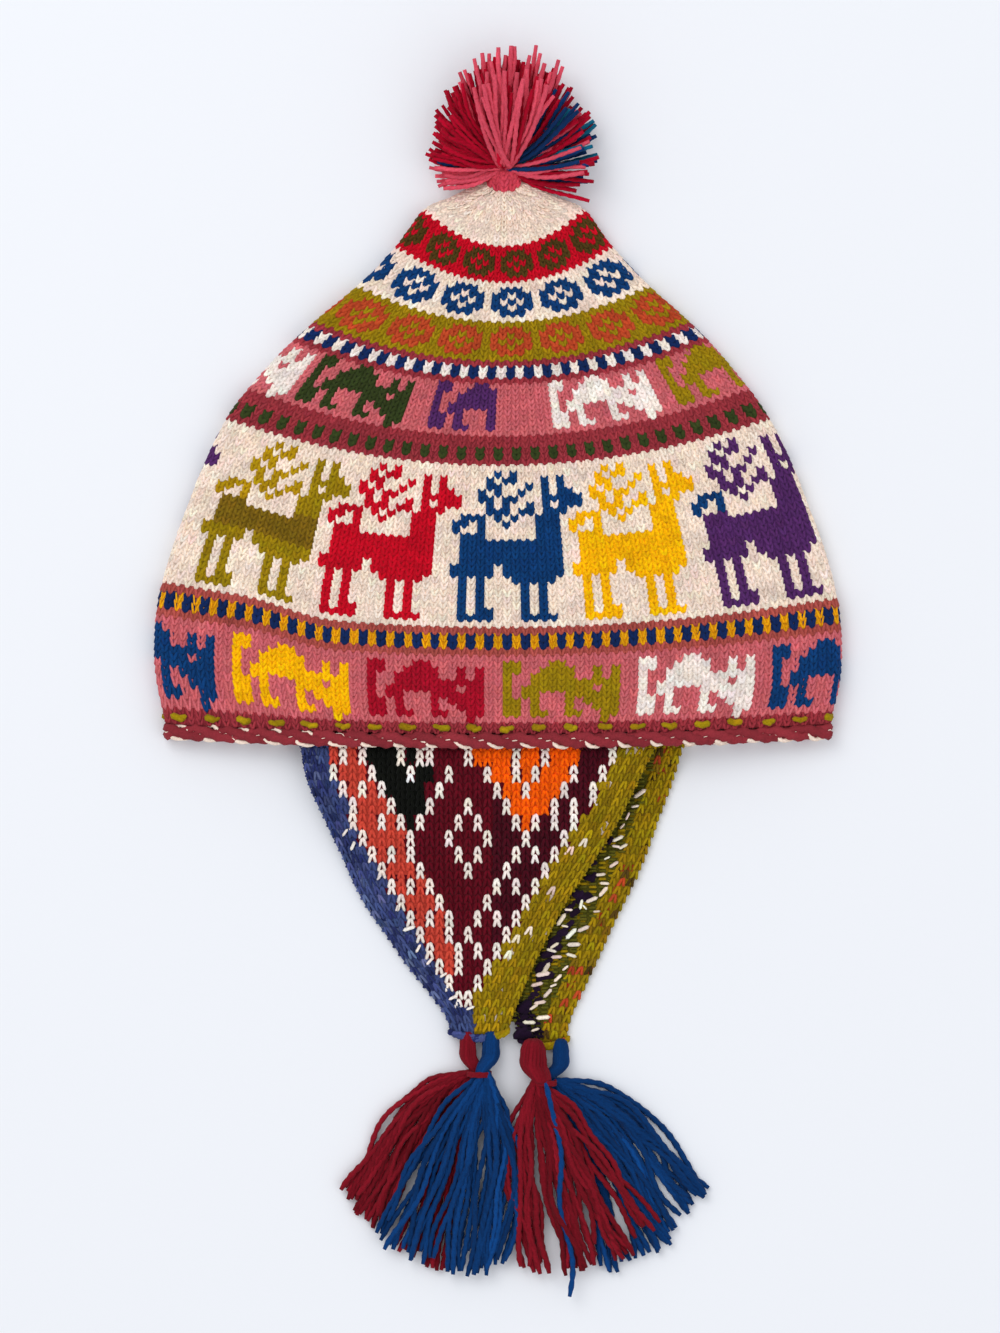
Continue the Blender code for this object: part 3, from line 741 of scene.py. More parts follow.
def flapPoints(flap, down, x, level):
    # level 0 is the underside, 1 the upper side
    down, x = np.broadcast_arrays(np.asarray(down, float), np.asarray(x, float))
    left, right = flapEdges(flap, down)
    share = (x - left) / (right - left)
    bow = rim["fold"] * (x / rim["half"]) ** 2 * (1 - ease(down / flapSize["bowOver"]))
    y = -crown["restAboveRim"] - edging["clearance"] - edging["height"] + bow - down * flapSize["length"]
    fall = ease(down * flapSize["length"] / flap["drop"])
    if flap["front"]:
        under = roof(rim["half"], rim["low"], rim["high"], crown["foldRadius"], x)
        top = under + edging["proud"] - edging["thickness"] - edging["clearance"] - flapSize["thickness"]
        climb = ease((share - 0.02) / 0.09)
        rest = (flapSize["thickness"] + edging["clearance"]) * (0.15 + 0.85 * climb)
    else:
        top = np.full_like(x, edging["thickness"] + edging["clearance"])
        rest = np.zeros_like(x)
    z = top * (1 - fall) + rest * fall + level * flapSize["thickness"]
    return np.stack([x, y, z], -1)


# The near flap's chart: a letter is one stitch wide and two courses tall, in px of the photograph
flapGrid = dict(firstColumn=305.0, columnPitch=9.6, firstRow=755.0, rowPitch=16.1, rimRow=749.0)
nearChart = """
bbbcwcwkkkwkwwmmmwoooowoowooommmwgggg
bbbwcccwkkkwkkmwmmmwoowowooowmmwggggg
bbbbwcwcwkkkkmwmmmmmwoowooowmmwgggggg
.bbbbwcccwkkkwmmmwmmmwoooowmwmwgggggg
..bbbwccwcwkwmmmwmwmmmwowmwmwgggggggg
...bbbwccccwmmmwmmmwmmmwmmmwggggggggg
....bbbwcwcwmmmmwmwmmmwmwmwgggggggggg
....bbbbwcccwmmmmwmmmwmmmwggggggggggg
.....bbbbwcwcwmmmmmmwmwmwgggggggggggg
......bbbbwcccwmmmmwmmmwggggggggggggg
.......bbbbwcwcwmmwmwmwgggggggggggggg
........bbbbwccwmwmmmwggggggggggggggg
.........bbbbwccwmwmwgggggggggggggggg
..........bbbbwcwmmwggggggggggggggggg
...........bbbbwmmwgggggggggggggggggg
............bbbbwwggggggggggggggggggg
.............bbbbbggggggggggggggggggg
.............bbbbbbbggggggggggggggggg
"""


def nearYarn(unitRow, column):
    lines = nearChart.split()
    line = lines[min(max(unitRow, 0), len(lines) - 1)]
    letter = line[min(max(column, 0), len(line) - 1)]
    letter = {"c": "l", ".": "b"}.get(letter, letter)
    if letter == "m" and column > 19:
        letter = "q"
    return letter


flapStitch = dict(
    courses=36, legWide=0.42, legThick=1.5 * mm, spread=0.37, gather=0.05, below=0.78, above=0.50, dip=0.42 * mm
)


def flapLegs(flap, downs, xs, widths, level, rise, style, slant=0.0):
    # Stitches at places (down, x). style knit is an upside-down V, purl a bump across.
    side = 1 if level else -1
    normal = np.tile([0.0, 0.0, float(side)], (len(xs), 1))
    inward = -normal
    places = []
    if style == "purl":
        for hand in (-1, 1):
            thick = np.full(len(xs), flapStitch["legThick"])
            start = flapPoints(flap, downs - rise * 0.22 * hand, xs - widths * 0.46, level) + inward * (thick * 0.55)[:, None]
            end = flapPoints(flap, downs - rise * 0.22 * hand, xs + widths * 0.46, level) + inward * (thick * 0.55)[:, None]
            bend = np.full(len(xs), hand * 0.45 * mm)
            places.append(
                legPlaces(start, end, normal, np.full(len(xs), 1.45 * mm), thick, grainTemplate, bend)
            )
        return np.concatenate(places)
    for hand in (-1, 1):
        thick = np.full(len(xs), flapStitch["legThick"])
        top = flapPoints(flap, downs - rise * flapStitch["above"], xs + hand * widths * flapStitch["gather"], level)
        low = flapPoints(
            flap, downs + rise * flapStitch["below"], xs + widths * (hand * flapStitch["spread"] + slant), level
        )
        top = top + inward * (thick / 2)[:, None]
        low = low + inward * (thick / 2 + flapStitch["dip"])[:, None]
        jitter = chance.normal(0, 0.09 * mm, top.shape)
        jitter[:, 2] = 0.0
        wide = widths * flapStitch["legWide"] * np.exp(chance.normal(0, 0.06, len(xs)))
        places.append(legPlaces(low + jitter, top + jitter, normal, wide, thick, grainTemplate))
    return np.concatenate(places)


def photoX(pixel):
    return (pixel - photoOrigin[0]) * photoPixel


nearBorders = dict(blueColumns=3, blueWide=3.1 * mm, oliveColumns=4, oliveWide=3.4 * mm)
farBorders = dict(oliveColumns=3, oliveWide=3.6 * mm)


def stitchField(flap, level, borderLeft, borderRight):
    # The inner field has upright columns; the borders' columns follow the edges
    found = []
    rise = flapGrid["rowPitch"] * photoPixel / 2 / flapSize["length"]
    last = flap["rows"][-1]["down"]
    downs = np.arange(-1, int(last / rise)) * rise + rise / 2
    leftCount, leftWide = borderLeft
    rightCount, rightWide = borderRight
    for row, down in enumerate(downs):
        left, right = (float(edge) for edge in flapEdges(flap, down))
        leftInner = left + leftCount * leftWide
        rightInner = right - rightCount * rightWide
        for k in range(leftCount):
            x = left + (k + 0.5) * leftWide
            if x < (leftInner + rightInner) / 2 + 4 * mm:
                found.append((row - 1, down, x, leftWide, "left", k))
        for k in range(rightCount):
            x = right - (k + 0.5) * rightWide
            if x > leftInner - 1 * mm:
                found.append((row - 1, down, x, rightWide, "right", k))
        pitch = flapGrid["columnPitch"] * photoPixel
        first = math.ceil((leftInner - photoX(flapGrid["firstColumn"])) / pitch)
        final = math.floor((rightInner - photoX(flapGrid["firstColumn"])) / pitch)
        for column in range(first, final + 1):
            x = photoX(flapGrid["firstColumn"]) + column * pitch
            found.append((row - 1, down, x, pitch, "field", column))
    return found, rise


def flapLevelStitches(flap, level, borderLeft, borderRight, yarnOf, styleOf):
    found, rise = stitchField(flap, level, borderLeft, borderRight)
    groups = {}
    for row, down, x, wide, zone, column in found:
        groups.setdefault((styleOf(zone, column), zone), []).append((row, down, x, wide, column))
    places, colours = [], []
    for (style, zone), items in groups.items():
        rows, downs, xs, widths, columns = (np.array(part) for part in zip(*items))
        slant = 0.0
        if zone != "field":
            left, right = flapEdges(flap, downs + rise / 2)
            leftUp, rightUp = flapEdges(flap, downs - rise / 2)
            drift = (left - leftUp) if zone == "left" else (right - rightUp)
            slant = drift / widths
        places.append(flapLegs(flap, downs, xs, widths, level, rise, style, slant))
        codes = np.array([yarnLetters.index(yarnOf(zone, int(r), int(c))) for r, c in zip(rows, columns)])
        paint = yarnColours(codes, 0.06 if zone == "field" else 0.15)
        colours.append(np.tile(paint, (2, 1)))
    return np.concatenate(places), np.concatenate(colours)


def nearFrontYarn(zone, row, column):
    if zone == "left":
        return "bbbeeab"[chance.integers(7)]
    if zone == "right":
        return "c" if column > 1 and chance.random() < 0.06 else "g"
    return nearYarn(row // 2, column)


def farTopYarn(zone, row, column):
    if zone == "right":
        return "uhj"[chance.integers(3)] if column < 3 and chance.random() < 0.16 else "g"
    if zone == "left":
        return "xtx"[chance.integers(3)]
    return "tttg"[chance.integers(4)]


def farUnderYarn(zone, row, column):
    if zone == "left":
        return "g"
    if zone == "right":
        return "g"
    return nearYarn(row // 2, 37 - column)


def buildFlapSheet(flap, outline):
    # The fabric under the stitches: a slab between the two faces, a little inside the outline
    columns, rows = 40, 44
    mesh = bmesh.new()
    bmesh.ops.create_grid(mesh, x_segments=columns, y_segments=rows, size=0.5)
    downs = np.array([0.5 - v.co.y for v in mesh.verts])
    shares = np.array([v.co.x + 0.5 for v in mesh.verts])
    down = -0.025 + downs * (flap["rows"][-1]["down"] + 0.025)
    left, right = flapEdges(flap, down)
    x = left + outline + (right - left - 2 * outline) * shares
    places = flapPoints(flap, down, x, 0.64)
    for vert, place in zip(mesh.verts, places):
        vert.co = place
    bmesh.ops.recalc_face_normals(mesh, faces=mesh.faces)
    if sum(f.normal.z for f in mesh.faces) < 0:
        bmesh.ops.reverse_faces(mesh, faces=mesh.faces)
    bmesh.ops.solidify(mesh, geom=mesh.faces, thickness=0.9 * mm)
    bmesh.ops.recalc_face_normals(mesh, faces=mesh.faces)
    return meshPiece(flap["name"] + "Backing", mesh, backingWool)


def paintSheet(piece, flap, yarnOf, borderLeft, borderRight):
    data = piece.data
    centres = np.zeros(len(data.polygons) * 3)
    data.polygons.foreach_get("center", centres)
    centres = centres.reshape(-1, 3)
    colours = []
    pitch = flapGrid["columnPitch"] * photoPixel
    rimY = -crown["restAboveRim"] - edging["clearance"] - edging["height"]
    for x, y, z in centres:
        down = (rimY - y) / flapSize["length"]
        bow = rim["fold"] * (x / rim["half"]) ** 2 * (1 - float(ease(down / 0.5)))
        down += bow / flapSize["length"]
        left, right = (float(edge) for edge in flapEdges(flap, down))
        row = int(down / (flapGrid["rowPitch"] * photoPixel / 2 / flapSize["length"]))
        column = round((x - photoX(flapGrid["firstColumn"])) / pitch)
        zone = "field"
        if x < left + borderLeft[0] * borderLeft[1]:
            zone = "left"
        if x > right - borderRight[0] * borderRight[1]:
            zone, column = "right", 2
        letter = yarnOf(zone, row, column)
        if letter == "w":
            letter = "m"
        # Painted shade: the sheet's yarn colour darkened where it shows between the stitches
        colours.append(yarnTable[yarnLetters.index(letter)] * flapSize["paintedGapShade"])
    paintFaces(piece, np.array(colours))


tipEdge = dict(stitches=13, long=4.6 * mm, wide=2.3 * mm, bulge=2.6 * mm, rows=((0.0, 1.0), (0.5, 0.45)))


def tipStitches(flap, letters):
    # The cast-off edge of the point: slanting stitches round its lower end, in three levels
    last = flap["rows"][-1]["down"]
    left, right = (float(edge) for edge in flapEdges(flap, last))
    share = (np.arange(tipEdge["stitches"]) + 0.5) / tipEdge["stitches"]
    x = left + (right - left) * share
    places, codes = [], []
    for back, size in tipEdge["rows"]:
        for level in (0.22, 0.5, 0.78):
            round_ = tipEdge["bulge"] * (1 - (2 * share - 1) ** 2) - (0.6 + 1.6 * back) * mm
            centre = flapPoints(flap, last + round_ / flapSize["length"], x, level)
            slope = -2 * tipEdge["bulge"] * (2 * share - 1) * 2 / (right - left)
            ahead = unit(np.stack([np.ones_like(x), -slope + 0.35, np.zeros_like(x)], -1)) * tipEdge["long"] / 2
            normal = np.tile([0.0, 0.0, 1.0], (len(x), 1))
            wide = np.full(len(x), tipEdge["wide"])
            thick = np.full(len(x), 1.1 * mm + 0.4 * mm * size)
            places.append(legPlaces(centre - ahead, centre + ahead, normal, wide, thick, grainTemplate))
            codes.append(np.array([yarnLetters.index(letters[int(s * len(letters))]) for s in share]))
    codes = np.concatenate(codes)
    return np.concatenate(places), yarnColours(codes, 0.15)


def buildFlap(flap, borderLeft, borderRight, topYarn, topStyle, underYarn, underStyle, tipLetters):
    sheet = buildFlapSheet(flap, 1.2 * mm)
    paintSheet(sheet, flap, topYarn, borderLeft, borderRight)
    upper = flapLevelStitches(flap, 1.0, borderLeft, borderRight, topYarn, topStyle)
    lower = flapLevelStitches(flap, 0.0, borderLeft, borderRight, underYarn, underStyle)
    end = tipStitches(flap, tipLetters)
    stitches = layCopies(
        flap["name"] + "Knit", keepInside(np.concatenate([upper[0], lower[0], end[0]])),
        np.concatenate([upper[1], lower[1], end[1]]), grainTemplate, stitchWool,
    )
    print("flap:", flap["name"], len(stitches.data.polygons), "triangles")
    return sheet, stitches


# Two-ply yarn. The shape is one straight piece of it, bent along each strand's own route.
plyShape = dict(sides=8, waist=0.70, pitch=4.6 * mm, cutEnd=0.70)


def yarnTemplate(rings, twist):
    mesh = bmesh.new()
    sides = plyShape["sides"]
    circle = bmesh.ops.create_circle(mesh, segments=sides, radius=1.0, matrix=Matrix.Rotation(math.pi / 2, 4, "Y"))
    for vert in circle["verts"]:
        turn = math.atan2(vert.co.z, vert.co.y)
        vert.co *= plyShape["waist"] + (1 - plyShape["waist"]) * math.cos(turn) ** 2
    start = list(mesh.edges)
    bmesh.ops.spin(
        mesh, geom=start, cent=(0, 0, 0), axis=(1, 0, 0), dvec=(1.0 / (rings - 1), 0, 0),
        angle=twist, steps=rings - 1, use_merge=False, use_duplicate=False,
    )
    for side in (0.0, 1.0):
        ring = [e for e in mesh.edges if all(abs(v.co.x - side) < 1e-6 for v in e.verts)]
        bmesh.ops.contextual_create(mesh, geom=ring)
    template = templateOf(mesh)
    template["ring"] = np.round(template["points"][:, 0] * (rings - 1)).astype(int)
    return template


def strandPlaces(routes, radius, template):
    # routes is strands x rings x 3. Each ring stands across its own stretch of the route.
    ahead = unit(np.gradient(routes, axis=1))
    side = unit(np.cross(ahead, np.broadcast_to([0.0, 0.0, 1.0], ahead.shape)) + 1e-9)
    up = np.cross(side, ahead)
    ring, points = template["ring"], template["points"]
    cut = np.where((ring == 0) | (ring == ring.max()), plyShape["cutEnd"], 1.0)
    swell = np.asarray(radius).reshape(-1, 1, 1) * cut[None, :, None]
    return (
        routes[:, ring]
        + side[:, ring] * swell * points[None, :, 1:2]
        + up[:, ring] * swell * points[None, :, 2:3]
    )


# Tassels: each bundle has guide strands, and the others lie between them. angle is in degrees from
# straight down, bow a share of the reach, fall where the strand comes down to the surface.
tasselSize = dict(
    headLength=13.7 * mm, headWidth=8.0 * mm, neckSpacing=4.4 * mm, neckWidth=4.0 * mm, tieWidth=3.0 * mm,
    tieThickness=1.3 * mm, strand=82 * mm, lockThickness=4.6 * mm, yarn=1.25 * mm, strands=42, rings=50,
    tuck=1.6 * mm, waves=((0.5, 1.3, 8, 15), (0.6, 2.4, 3, 8)),
)
bundles = dict(
    near_tassel_red=[
        dict(angle=-46, reach=0.92, bow=-0.05, lead=-36), dict(angle=-41, reach=0.94, bow=-0.05, lead=-32),
        dict(angle=-33, reach=0.92, bow=-0.03, lead=-22), dict(angle=-20, reach=0.95, bow=-0.02, lead=-10),
        dict(angle=-9, reach=0.99, bow=0.0, lead=0),
    ],
    near_tassel_blue=[
        dict(angle=-37, reach=0.95, bow=-0.02, lead=-12), dict(angle=-25, reach=0.99, bow=-0.01, lead=-8),
        dict(angle=-12, reach=0.98, bow=0.0, lead=0), dict(angle=-3, reach=1.00, bow=0.01, lead=12),
        dict(angle=4, reach=0.95, bow=0.01, lead=24),
    ],
    far_tassel_red=[
        dict(angle=-2, reach=0.92, bow=-0.01, lead=-22), dict(angle=4, reach=0.96, bow=-0.01, lead=-14),
        dict(angle=13, reach=0.96, bow=0.0, lead=-2), dict(angle=27, reach=0.96, bow=0.01, lead=6),
        dict(angle=40, reach=0.90, bow=0.02, lead=8),
    ],
    far_tassel_blue=[
        dict(angle=56, reach=0.97, bow=0.05, lead=36), dict(angle=49, reach=0.97, bow=0.04, lead=32),
        dict(angle=39, reach=0.98, bow=0.02, lead=24), dict(angle=28, reach=1.00, bow=0.01, lead=14),
        dict(angle=18, reach=0.97, bow=0.0, lead=4),
    ],
)
tassels = [
    dict(name="near", flap=nearFlap, redAcross=-0.57, blueAcross=0.57, redSize=0.95, blueSize=1.00, redOver=False, apart=1.6 * mm),
    dict(name="far", flap=farFlap, redAcross=-0.55, blueAcross=0.82, redSize=1.42, blueSize=0.95, redOver=True, apart=2.4 * mm),
]
strays = dict(far_tassel_blue=[dict(angle=7, reach=1.05, bow=-0.01, lead=0), dict(angle=7, reach=1.05, bow=-0.01, lead=0)])
tasselYarn = dict(red="#7a101e", blue="#07356a")
strandTemplate = yarnTemplate(tasselSize["rings"], 2 * math.pi * 0.5 * tasselSize["strand"] / plyShape["pitch"])


def tasselPlaces(row):
    flap = row["flap"]
    last = flap["rows"][-1]
    x = flap["axis"] * crown["width"] + (last["left"] + last["right"]) / 2 * flapSize["width"]
    y = float(flapPoints(flap, last["down"], x, 0.0)[1])
    outer = tasselSize["neckSpacing"] / 2 + tasselSize["neckWidth"] / 2 + edging["clearance"] + tasselSize["tieThickness"]
    gap = edging["clearance"]
    knot = np.array([x, y - gap - tasselSize["headLength"] - tasselSize["tieWidth"] / 2, outer + gap])
    rise = np.array([tasselSize["neckSpacing"] * 0.17, 0.0, tasselSize["neckSpacing"] * 0.47])
    if row["redOver"]:
        red, blue = knot + rise * [-1, 1, 1], knot + rise * [1, 1, -1]
    else:
        red, blue = knot - rise, knot + rise
    return np.array([x, y, 0.0]), knot, red, blue


def bundleStrands(guides, neck, over, count, rings):
    # Strands fan out of the neck, come down to the surface and lie on each other
    picks = np.sort(chance.uniform(0, len(guides) - 1, count))
    picks[:: max(1, count // len(guides))] = np.round(picks[:: max(1, count // len(guides))])
    keys = np.arange(len(guides))
    angle = np.radians(np.interp(picks, keys, [g["angle"] for g in guides]) + chance.normal(0, 1.6, count))
    reach = np.interp(picks, keys, [g["reach"] for g in guides]) * tasselSize["strand"]
    reach = reach * (1 - np.abs(chance.normal(0, 0.045, count)))
    bow = np.interp(picks, keys, [g["bow"] for g in guides]) + chance.normal(0, 0.018, count)
    along = np.linspace(0, 1, rings)[None]
    # A strand leaves the neck sideways, the outer ones most, and arches round to its own way
    spread = (picks / (len(guides) - 1) - 0.5) * (1 if guides[0]["angle"] < guides[-1]["angle"] else -1)
    lead = np.radians(np.interp(picks, keys, [g["lead"] for g in guides]))[:, None]
    turn = lead * (1 - 1.55 * ease(along / 0.8))
    turn = angle[:, None] + turn - turn.mean(1, keepdims=True)
    beside = np.stack([np.cos(angle), np.sin(angle), np.zeros(count)], -1)[:, None]
    steps = np.stack([np.sin(turn), -np.cos(turn), np.zeros_like(turn)], -1) * (reach[:, None, None] / (rings - 1))
    path = np.cumsum(steps, 1) - steps[:, :1]
    wave = np.zeros((count, rings))
    for least, most, slow, fast in tasselSize["waves"]:
        size = chance.uniform(least, most, (count, 1)) * mm
        wave += size * np.sin(along * chance.uniform(slow, fast, (count, 1)) + chance.uniform(0, 6, (count, 1)))
    wave *= ease(along / 0.3)
    side = -bow[:, None] * reach[:, None] * np.sin(math.pi * along) + wave
    path = path + beside * side[..., None]
    start = neck[None] + np.stack(
        [spread * tasselSize["neckWidth"] * 0.55, np.full(count, 1.0 * mm), chance.uniform(-0.9, 0.9, count) * mm], -1
    )
    path = path + start[:, None]
    low = tasselSize["yarn"] * 0.95
    pile = chance.uniform(0.0, 1.0, count)
    base = (tasselSize["lockThickness"] * 0.95 if over else 0.0) * np.clip(1.2 - along * 0.5, 0.55, 1.2)
    rest = low + base + (pile * (tasselSize["lockThickness"] - 1.6 * low))[:, None] * np.clip(1.25 - along * 0.55, 0.3, 1)
    ripple = 0.5 * mm * np.sin(along * 9 + chance.uniform(0, 6, (count, 1))) * ease(along / 0.4)
    settle = ease(along / 0.30)
    z = start[:, 2:3] * (1 - settle) + np.maximum(rest + ripple, low) * settle
    path[..., 2] = z
    return path


def headStrands(top, neck, width, count, rings):
    # Yarn folded over at the flap's tip: strands that run down the oval head, side by side
    along = np.linspace(0.02, 1.0, rings)[None]
    turn = (np.arange(count) / count * 2 * math.pi)[:, None] + along * 0.5
    profile = np.interp(along, [0.0, 0.10, 0.26, 0.50, 0.75, 1.0], [0.15, 0.66, 0.93, 1.0, 0.86, 0.52])
    pull = ease((along - 0.55) / 0.45)
    centre = top[None, None] * (1 - along[..., None]) + neck[None, None] * along[..., None]
    centre = centre * np.ones((count, 1, 1))
    centre[..., 0] = top[0] + (neck[0] - top[0]) * pull
    centre[..., 2] = top[2] + (neck[2] - top[2]) * pull
    swell = profile * (width / 2 - 1.1 * mm)
    ring = np.stack([np.cos(turn) * swell, np.zeros_like(turn), np.sin(turn) * swell], -1)
    return centre + ring


def strandPiece(name, routes, radii, colours, template):
    places = strandPlaces(routes, radii, template)
    return layCopies(name, keepInside(places), colours, template, strandWool)


def buildTassels():
    made = []
    headTemplate = yarnTemplate(16, 2 * math.pi * 0.5 * 14 * mm / (2.2 * plyShape["pitch"]))
    for row in tassels:
        tip, knot, redNeck, blueNeck = tasselPlaces(row)
        for colour, neck, across, size in (
            ("red", redNeck, row["redAcross"], row["redSize"]),
            ("blue", blueNeck, row["blueAcross"], row["blueSize"]),
        ):
            name = f"{row['name']}_tassel_{colour}"
            over = row["redOver"] == (colour == "red")
            count = tasselSize["strands"]
            start = neck + [row["apart"] * (-1 if colour == "red" else 1), 0.0, 0.0]
            routes = bundleStrands(bundles[name], start, over, count, tasselSize["rings"])
            if name in strays:
                routes[0] = bundleStrands(strays[name], redNeck, True, 1, tasselSize["rings"])[0] + [0.0, 0.0, 2.2 * mm]
            paint = np.array(linear(tasselYarn[colour])) * np.exp(chance.normal(0, 0.20, (count, 1)))
            radii = tasselSize["yarn"] * np.exp(chance.normal(0, 0.06, count))
            strands = strandPiece(name + "Strands", routes, radii, paint, strandTemplate)
            width = tasselSize["headWidth"] * size
            top = tip + [across * tasselSize["headWidth"], tasselSize["tuck"], width / 2]
            lines = headStrands(top, neck, width, 20, 16)
            paint = np.array(linear(tasselYarn[colour])) * np.exp(chance.normal(0, 0.10, (20, 1)))
            head = strandPiece(name + "Head", lines, np.full(20, 0.95 * mm * size ** 0.5), paint, headTemplate)
            for piece in (strands, head):
                made.append(piece)
            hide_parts(name)
            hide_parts(name)
        made.append(buildTie(row["name"], knot))
    print("tassels:", len(made), "pieces")
    return made


tieWrap = dict(turns=3, radius=0.65 * mm, pull=0.4 * mm)


def buildTie(name, centre):
    # Yarn wound three times round both necks
    steps = 96
    turn = np.linspace(0, 2 * math.pi * tieWrap["turns"], steps)
    outer = tasselSize["neckSpacing"] / 2 + tasselSize["neckWidth"] / 2 + tieWrap["radius"] - tieWrap["pull"]
    along = np.linspace(-0.5, 0.5, steps) * (tasselSize["tieWidth"] - 2 * tieWrap["radius"])
    route = np.stack([centre[0] + outer * np.cos(turn), centre[1] + along, centre[2] + outer * np.sin(turn)], -1)
    template = yarnTemplate(steps, 2 * math.pi * 12)
    piece = strandPiece(name + "_tasselWrap", route[None], np.array([tieWrap["radius"]]),
                        np.array([linear(tasselYarn["red"])]), template)
    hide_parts(name + "_tassel_tie")
    return piece


# Pompom: a bundle of cut yarn, tied at the crown's tip. turn is in degrees from +X, lift above the surface.
pompom = dict(side=32 * mm, above=9.5 * mm, rightward=4.5 * mm, yarn=1.05 * mm, rings=22, arch=20, waist=3.2 * mm)
pompomYarn = dict(pink="#dd5064", crimson="#ae0527", navy="#0e3262", teal="#0f6482")
pompomGroups = [
    dict(yarn="crimson", count=64, turn=(56, 126), lift=(0, 20), reach=(0.88, 1.00)),
    dict(yarn="crimson", count=78, turn=(118, 177), lift=(0, 32), reach=(0.88, 1.02)),
    dict(yarn="crimson", count=34, turn=(20, 62), lift=(0, 28), reach=(0.86, 1.00)),
    dict(yarn="crimson", count=14, turn=(-24, 24), lift=(0, 26), reach=(0.80, 0.98)),
    dict(yarn="pink", count=20, turn=(58, 120), lift=(8, 26), reach=(1.00, 1.12)),
    dict(yarn="pink", count=17, turn=(58, 122), lift=(34, 50), reach=(0.98, 1.12), front=True),
    dict(yarn="crimson", count=9, turn=(64, 114), lift=(32, 48), reach=(0.86, 0.99), front=True),
    dict(yarn="pink", count=13, turn=(-16, 52), lift=(2, 36), reach=(0.86, 1.00)),
    dict(yarn="pink", count=16, turn=(176, 202), lift=(0, 24), reach=(0.84, 1.00)),
    dict(yarn="navy", count=18, turn=(-14, 56), lift=(2, 38), reach=(0.86, 1.03)),
    dict(yarn="navy", count=6, turn=(164, 178), lift=(4, 26), reach=(0.92, 1.04)),
    dict(yarn="teal", count=9, turn=(4, 38), lift=(0, 28), reach=(0.92, 1.03)),
]


def buildPompom():
    tip = crownSection(1.0)
    heart = np.array([tip["lean"], crown["height"] - crown["restAboveRim"] - 1.0 * mm, (tip["low"] + tip["high"]) / 2])
    template = yarnTemplate(pompom["rings"], math.pi * (pompom["side"] + pompom["above"]) / plyShape["pitch"])
    routes, paint = [], []
    along = np.linspace(0, 1, pompom["rings"])
    for group in pompomGroups:
        for i in range(group["count"]):
            share = (i + chance.uniform(0.0, 1.0)) / group["count"]
            turn = math.radians(group["turn"][0] + (group["turn"][1] - group["turn"][0]) * share)
            lift = math.radians(chance.uniform(*group["lift"]))
            full = pompom["side"] + pompom["above"] * max(0.0, math.sin(turn)) ** 3 + pompom["rightward"] * math.cos(turn)
            reach = chance.uniform(*group["reach"]) * full
            # A strand leaves the tie sideways and steeply, then arches round and over
            bend = 0.5 - ease(along / 0.9)
            ways = turn - math.radians(pompom["arch"]) * math.tanh(3 * math.cos(turn)) * bend
            rise = lift * (1.35 - 0.95 * along)
            level = np.cos(rise)
            way = np.stack([np.cos(ways) * level, np.sin(ways) * level, np.sin(rise)], -1)
            path = np.cumsum(way, 0) * reach / (pompom["rings"] - 1)
            beside = np.array([-math.sin(turn), math.cos(turn), 0.0])
            wave = chance.uniform(-1.3, 1.3) * mm * np.sin(along * chance.uniform(3, 7) + chance.uniform(0, 6))
            path = path + beside * (wave * ease(along / 0.4))[:, None]
            path = path + heart + chance.uniform(-1, 1, 3) * [pompom["waist"], 0.8 * mm, 1.6 * mm]
            if "front" in group:
                path += [0.0, -0.6 * mm, 3.2 * mm]
            path[:, 2] = np.maximum(path[:, 2], pompom["yarn"] * 1.02)
            routes.append(path)
            colour = np.array(linear(pompomYarn[group["yarn"]]))
            paint.append(colour * math.exp(chance.normal(0, 0.12)))
    radii = pompom["yarn"] * np.exp(chance.normal(0, 0.06, len(routes)))
    piece = strandPiece("pompomStrands", np.array(routes), radii, np.array(paint), template)
    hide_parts("pompom")
    print("pompom:", len(routes), "strands")
    return piece


# Rim edging: two maroon cords and two thin white strands twined round the opening, olive bumps over them
rimCords = dict(
    radius=2.30 * mm, swing=1.40 * mm, depth=0.9 * mm, drop=2.5 * mm, scallop=13.0 * mm, rings=560,
    whiteRadius=0.95 * mm, whiteSwing=3.10 * mm, whiteDepth=1.9 * mm, whiteHidden=0.30,
    bumpLong=6.4 * mm, bumpWide=2.7 * mm, bumpThick=2.6 * mm, bumpUp=0.011, bumpDrop=0.004,
)


def twinedRoute(turns, phase, swing, depth, hidden=1.0):
    # A helix round a line that follows the rim, starting at the back
    count = rimCords["rings"]
    share = (np.arange(count) / (count - 1) + 0.5) % 1.0
    inset = edging["thickness"] / 2
    base = alongLine(crownLine(0.0, inset, proud=edging["proud"], smooth=True), share)
    outer = alongLine(crownLine(0.0, inset - 1 * mm, proud=edging["proud"], smooth=True), share)
    outward = unit((outer - base) * [1.0, 0.0, 1.0])
    turn = (2 * math.pi * turns * np.arange(count) / (count - 1) + phase)[:, None]
    base[:, 1] -= edging["clearance"] + rimCords["drop"]
    # A strand with hidden under 1 sinks between the others, and shows only in the dips under them,
    # and on the left of the photograph over them too
    each = chance.uniform(0.6, 1.0, (len(turn), 1))[(turn[:, 0] / math.pi).astype(int)]
    leftward = ease((-base[:, :1] - 50 * mm) / (40 * mm))
    shown = ease((np.sin(turn) - 0.45) * 2.2) + leftward * ease((-np.sin(turn) - 0.45) * 2.2)
    reach = hidden + (1 - hidden) * shown * (each if hidden < 1 else 0.0) + (1 - hidden if hidden == 1 else 0.0)
    swing, depth = swing * reach, depth * reach
    return base + outward * depth * np.cos(turn) + np.array([0.0, -1.0, 0.0]) * swing * np.sin(turn)


